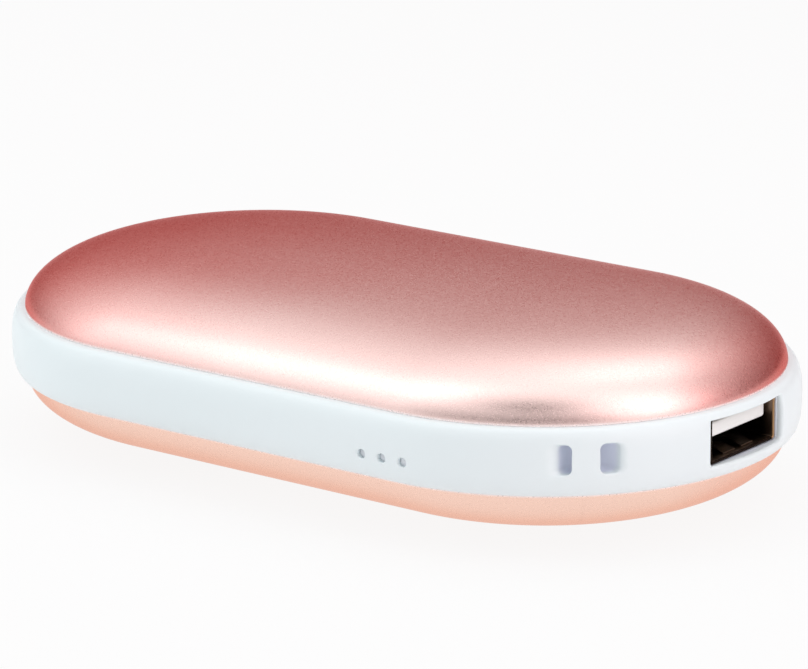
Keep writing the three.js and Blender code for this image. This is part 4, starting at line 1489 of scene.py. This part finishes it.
@dataclass(frozen=True)
class LampGuide:
    """Light guide: a rail on the board with a pin in each lamp hole."""

    places: tuple[float, ...] = (18.75, 21.75, 24.75)
    drop: float = -1.13
    pin_wide: float = 1.16
    pin_tall: float = 1.06
    sink: float = 0.5
    wall: float = 0.9
    tall: float = 1.5
    margin: float = 1.1
    edge: float = 0.3
    rail_edge: float = 0.12
    pin_edge: float = 0.06
    pin_crown: float = 0.08
    board_top: float = -2.28
    fit: float = 0.1

    def build(self, finishes: Finishes) -> None:
        """Puts the guide in place, its rail clear of the curved wall."""
        out = np.array([0.0, -1.0])
        beyond = self.places[-1] + self.margin - FORM.straight
        front = math.sqrt((FORM.half_width - FORM.wall_inset) ** 2 - beyond ** 2) - self.edge
        middle = (self.places[0] + self.places[-1]) / 2
        long = self.places[-1] - self.places[0] + 2 * self.margin
        profile = block_profile(self.tall / 2, front - self.wall, front, self.rail_edge)
        rail = carried(profile, long, self.tall, self.rail_edge)
        grids = [placed(rail, out, (middle, 0), height=self.board_top + self.fit + self.tall / 2)]
        for x in self.places:
            profile = block_profile(self.pin_tall / 2, front - self.wall / 2, FORM.half_width - self.sink,
                                    self.pin_edge, self.pin_crown)
            pin = carried(profile, self.pin_wide, self.pin_tall, self.pin_tall / 2)
            grids.append(placed(pin, out, (x, 0), height=self.drop))
        new_piece("lamp_guide", grids, finishes[Slot.CLEAR_GUIDE], "warmer",
                  ["light_guide"])


@dataclass(frozen=True)
class Insides:
    """CAD nodes that keep their own mesh and take a procedural finish."""

    slots: tuple[tuple[Slot, tuple[str, ...]], ...] = (
        (Slot.GREY_PLASTIC, ("upper_liner", "lower_liner", "rear_saddle", "front_saddle")),
        (Slot.AMBER_FILM, ("upper_heater_film", "lower_heater_film")),
        (Slot.GREY_PAD, ("upper_pad", "lower_pad")),
        (Slot.CELL_SLEEVE, ("cell_1", "cell_2")),
        (Slot.NICKEL, ("positive_strip", "negative_strip")),
        (Slot.STEEL, ("saddle_screw_1", "saddle_screw_2", "saddle_screw_3", "saddle_screw_4",
                      "board_screw_1", "board_screw_2")),
        (Slot.BOARD, ("main_board",)),
        (Slot.BLACK_PLASTIC, ("inductor", "boost_chip", "charger_chip", "switch_body")),
        (Slot.CREAM_PLASTIC, ("switch_plunger",)),
        (Slot.LED_LENS, ("led_1", "led_2", "led_3")),
        (Slot.CERAMIC, ("capacitor_1", "capacitor_2", "thermistor")),
        (Slot.RED_WIRE, ("positive_lead", "upper_film_lead_1", "lower_film_lead_1")),
        (Slot.BLACK_WIRE, ("negative_lead", "upper_film_lead_2", "lower_film_lead_2")),
    )

    def build(self, finishes: Finishes) -> None:
        """Gives each kept node the finish of its slot."""
        for slot, names in self.slots:
            for name in names:
                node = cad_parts[name]
                node.data.materials.clear()
                node.data.materials.append(finishes[slot])
        LOG.info("insides: %d nodes dressed", sum(len(names) for _, names in self.slots))


# Studio


@dataclass(frozen=True)
class SoftPatch:
    """Soft patch of light on the tent: its middle and its spread both ways, in degrees."""

    bearing: float
    rise: float
    wide: float
    tall: float
    strength: float
    colour: Colour = (1.0, 1.0, 1.0)

    def glow(self, bearing: np.ndarray, rise: np.ndarray) -> np.ndarray:
        """Light of the patch in each direction, with its colour on the last axis.

        Formula: a bell that falls off with the turn away from the patch's bearing and with the
        difference in elevation.
        """
        across = (np.mod(bearing - self.bearing + 180, 360) - 180) / self.wide
        up = (rise - self.rise) / self.tall
        return (self.strength * np.exp(-(across ** 2 + up ** 2) / 2))[..., None] * np.array(self.colour)


BLUSH = (1.0, 0.86, 0.86)
ROSE = (1.0, 0.3, 0.3)


@dataclass(frozen=True)
class Studio:
    """Pale floor, soft lights and the camera at the photograph's angle."""

    azimuth: float = 37.8766
    elevation: float = 16.0089
    roll: float = -0.4565
    focal: float = 4648.1312
    distance: float = 581.0554
    target: tuple[float, float, float] = (0.0, 0.0, 12.78)
    slide: tuple[float, float] = (-5.9521, 20.0521)
    width: int = 808
    surround: float = 0.6
    tent_radius: float = 0.6
    top_level: float = 1.2
    dome: tuple[float, float] = (0.0, 70.0)
    end_window: SoftPatch = SoftPatch(1, 18, 20, 28, 2.1, BLUSH)
    far_window: SoftPatch = SoftPatch(222, 5, 21, 32, 1.3)
    window_card: SoftPatch = SoftPatch(225, 60, 19, 14, 0.8)
    far_card: SoftPatch = SoftPatch(90, 60, 18, 11, 0.85)
    left_fill: SoftPatch = SoftPatch(172, 20, 26, 24, 0.32)
    near_fill: SoftPatch = SoftPatch(275, 22, 25, 18, 0.4)
    warm_fill: SoftPatch = SoftPatch(115, 0, 42, 20, 0.34, ROSE)
    tip_fill: SoftPatch = SoftPatch(58, 4, 18, 14, 0.14)
    gap_bearing: float = -58.0
    gap_rise: float = 52.0
    gap_spread: float = 10.5
    gap_depth: float = 0.88
    floor_reach: float = 3.0
    floor_drop: float = 2e-4
    floor_glow: float = 0.974
    floor_share: float = 0.9
    lamp_power: float = 0.02

    def camera(self) -> None:
        """Camera from the fitted angles, aimed at the middle of the pebble."""
        turn, lift, roll = (math.radians(v) for v in (self.azimuth, self.elevation, self.roll))
        back = Vector((math.sin(turn) * math.cos(lift), -math.cos(turn) * math.cos(lift), math.sin(lift)))
        right = Vector((math.cos(turn), math.sin(turn), 0))
        above = back.cross(right)
        across = math.cos(roll) * right + math.sin(roll) * above
        upward = math.cos(roll) * above - math.sin(roll) * right
        data = bpy.data.cameras.new("camera")
        data.sensor_width = 36.0
        data.lens = self.focal / self.width * data.sensor_width
        data.shift_x, data.shift_y = -self.slide[0] / self.width, self.slide[1] / self.width
        data.clip_start, data.clip_end = 0.01, 20.0
        eye = bpy.data.objects.new("camera", data)
        bpy.context.scene.collection.objects.link(eye)
        spot = (Vector(self.target) + self.distance * back) * MILLIMETRE
        turned_axes = Matrix((across, upward, back)).transposed().to_4x4()
        eye.matrix_world = Matrix.Translation(spot) @ turned_axes
        bpy.context.scene.camera = eye

    def seen(self, paint: Paint) -> Value:
        """One for rays from the camera, a mirror or glass, and nothing for the others."""
        path = paint.node("ShaderNodeLightPath", {}, {})
        rays = [Value(paint, path.outputs[f"Is {kind} Ray"]) for kind in ("Camera", "Glossy", "Transmission")]
        return rays[0].most(rays[1]).most(rays[2])

    def floor(self) -> None:
        """Wide pale floor that keeps a faint shadow."""
        mesh = bpy.data.meshes.new("studio_floor")
        reach, level = self.floor_reach, -self.floor_drop
        corners = [(-reach, -reach, level), (reach, -reach, level),
                   (reach, reach, level), (-reach, reach, level)]
        mesh.from_pydata(corners, [], [(0, 1, 2, 3)])
        floor = bpy.data.objects.new("studio_floor", mesh)
        bpy.context.scene.collection.objects.link(floor)
        paint = Paint("pale_floor")
        paint.dress(Base_Color=tone(244, 244, 245), Roughness=0.9)
        white = (self.floor_glow, self.floor_glow, self.floor_glow, 1)
        glow = paint.node("ShaderNodeEmission", {}, {"Color": white, "Strength": 1.0})
        mix = paint.node("ShaderNodeMixShader", {}, {0: self.seen(paint) * self.floor_share})
        paint.tree.links.new(paint.shader.outputs[0], mix.inputs[1])
        paint.tree.links.new(glow.outputs[0], mix.inputs[2])
        paint.tree.links.new(mix.outputs[0], paint.tree.nodes["Material Output"].inputs[0])
        mesh.materials.append(paint.material)

    def world(self) -> None:
        """White surround, full for the camera and mirrors and lower as a light."""
        world = bpy.data.worlds.new("studio_surround")
        bpy.context.scene.world = world
        world.use_nodes = True
        tree = world.node_tree
        path, back = tree.nodes.new("ShaderNodeLightPath"), tree.nodes["Background"]
        first, second = tree.nodes.new("ShaderNodeMath"), tree.nodes.new("ShaderNodeMath")
        level = tree.nodes.new("ShaderNodeMapRange")
        first.operation = second.operation = "MAXIMUM"
        tree.links.new(path.outputs["Is Camera Ray"], first.inputs[0])
        tree.links.new(path.outputs["Is Glossy Ray"], first.inputs[1])
        tree.links.new(first.outputs[0], second.inputs[0])
        tree.links.new(path.outputs["Is Transmission Ray"], second.inputs[1])
        tree.links.new(second.outputs[0], level.inputs["Value"])
        level.inputs["To Min"].default_value, level.inputs["To Max"].default_value = self.surround, 1.0
        tree.links.new(level.outputs["Result"], back.inputs["Strength"])
        back.inputs["Color"].default_value = (0.982, 0.982, 0.985, 1)

    def directions(self) -> tuple[np.ndarray, np.ndarray]:
        """Net of bearings from the outlet's end and elevations over the tent, in degrees."""
        return np.meshgrid(np.linspace(0, 360, 96, endpoint=False), np.linspace(0, 90, 25), indexing="ij")

    def brightness(self, bearing: np.ndarray, rise: np.ndarray) -> np.ndarray:
        """Colours of the tent by direction.

        Formula: a smooth step from nothing at the horizon to the level overhead, and the patches
        added to it, less a bell-shaped dark gap where the camera looks in.

        Args:
            bearing: Bearings in degrees.
            rise: Elevations in degrees.

        Returns:
            Red, green and blue of the light on the last axis.
        """
        low, high = self.dome
        share = np.clip((rise - low) / (high - low), 0, 1)
        light = (self.top_level * share ** 2 * (3 - 2 * share))[..., None] * np.ones(3)
        for patch in (self.end_window, self.far_window, self.window_card, self.far_card,
                      self.left_fill, self.near_fill, self.warm_fill, self.tip_fill):
            light = light + patch.glow(bearing, rise)
        side = (np.mod(bearing - self.gap_bearing + 180, 360) - 180) * np.cos(np.radians(rise))
        apart = side ** 2 + (rise - self.gap_rise) ** 2
        gap = 1 - self.gap_depth * np.exp(-apart / (2 * self.gap_spread ** 2))
        return light * gap[..., None]

    def tent(self) -> None:
        """Soft light tent over the pebble, unseen by the camera.

        Formula: a half sphere over bearing and elevation.
        """
        bearing, rise = self.directions()
        turn, lift = np.radians(bearing), np.radians(rise)
        out = np.cos(lift)
        round_about = np.stack([np.cos(turn) * out, np.sin(turn) * out, np.sin(lift)], axis=-1)
        points, faces = woven(self.tent_radius * round_about, closed_rows=True)
        mesh = bpy.data.meshes.new("light_tent")
        mesh.from_pydata(points.tolist(), [], faces.tolist())
        colours = np.ones((*bearing.shape, 4))
        colours[..., :3] = self.brightness(bearing, rise)
        mesh.attributes.new("glow", "FLOAT_COLOR", "POINT").data.foreach_set("color", colours.ravel())
        tent = bpy.data.objects.new("light_tent", mesh)
        bpy.context.scene.collection.objects.link(tent)
        tent.visible_camera = False
        paint = Paint("tent_cloth")
        cloth = paint.node("ShaderNodeAttribute", {"attribute_name": "glow"}, {}).outputs["Color"]
        glow = paint.node("ShaderNodeEmission", {}, {"Color": cloth})
        paint.tree.links.new(glow.outputs[0], paint.tree.nodes["Material Output"].inputs[0])
        mesh.materials.append(paint.material)

    def lamp(self) -> None:
        """Soft lamp above the pebble."""
        data = bpy.data.lights.new("overhead_lamp", "AREA")
        data.shape, data.size, data.energy = "DISK", 0.3, self.lamp_power
        lamp = bpy.data.objects.new("overhead_lamp", data)
        bpy.context.scene.collection.objects.link(lamp)
        lamp.location = (-0.05, 0.0, 0.5)

    def build(self) -> None:
        """Sets up the whole studio."""
        self.camera()
        self.floor()
        self.world()
        self.tent()
        self.lamp()
        bpy.context.scene.view_settings.view_transform = "Standard"
        LOG.info("studio: camera, floor, surround and lights")


def main() -> None:
    """Builds the sub-assemblies in order."""
    logging.basicConfig(level=logging.INFO, format="%(name)s %(message)s")
    finishes = Finishes()
    button, guide = PowerButton(), LampGuide()
    inlet = ChargingInlet(bearing=90 - math.degrees(6.25 / FORM.half_width))
    openings = (
        Opening(start=(0, 0), bearing=0, sideways=-1.25, height=0.46, wide=14.5, tall=5.58, radius=0.5,
                lips=(0.75, 0.12, 0.12, 0.4), seat=(-1.05, 0.58, 13.9, 6.02), seat_at=52.45),
        Opening(start=(FORM.straight, 0), bearing=inlet.bearing, sideways=0, height=inlet.height,
                wide=7.8, tall=2.9, radius=0.87, lips=(0.35, 0.35, 0.35, 0.35)),
        Opening(start=(0, 0), bearing=90, sideways=-button.x, height=button.height, wide=10.3, tall=3.7,
                radius=1.85, lips=(0.25, 0.25, 0.25, 0.25), corner=16),
        *(Opening(start=(0, 0), bearing=-90, sideways=x, height=guide.drop, wide=1.2, tall=1.1,
                  radius=0.54, lips=(0.08, 0.32, 0.18, 0.1), corner=8, side=2) for x in guide.places),
    )
    bosses = (
        *(Boss(x, y, low=-3.48, high=-0.2) for x in (-20.2, 5.0) for y in (25.9, -25.9)),
        *(Boss(36.026, y, low=-2.28, high=0.92) for y in (20.673, -20.673)),
    )
    Covers().build(finishes)
    Band(openings, LanyardTunnel(), bosses).build(finishes)
    PowerOutlet().build(finishes)
    inlet.build(finishes)
    button.build(finishes)
    guide.build(finishes)
    Insides().build(finishes)
    Studio().build()


if __name__ == "__main__":
    main()
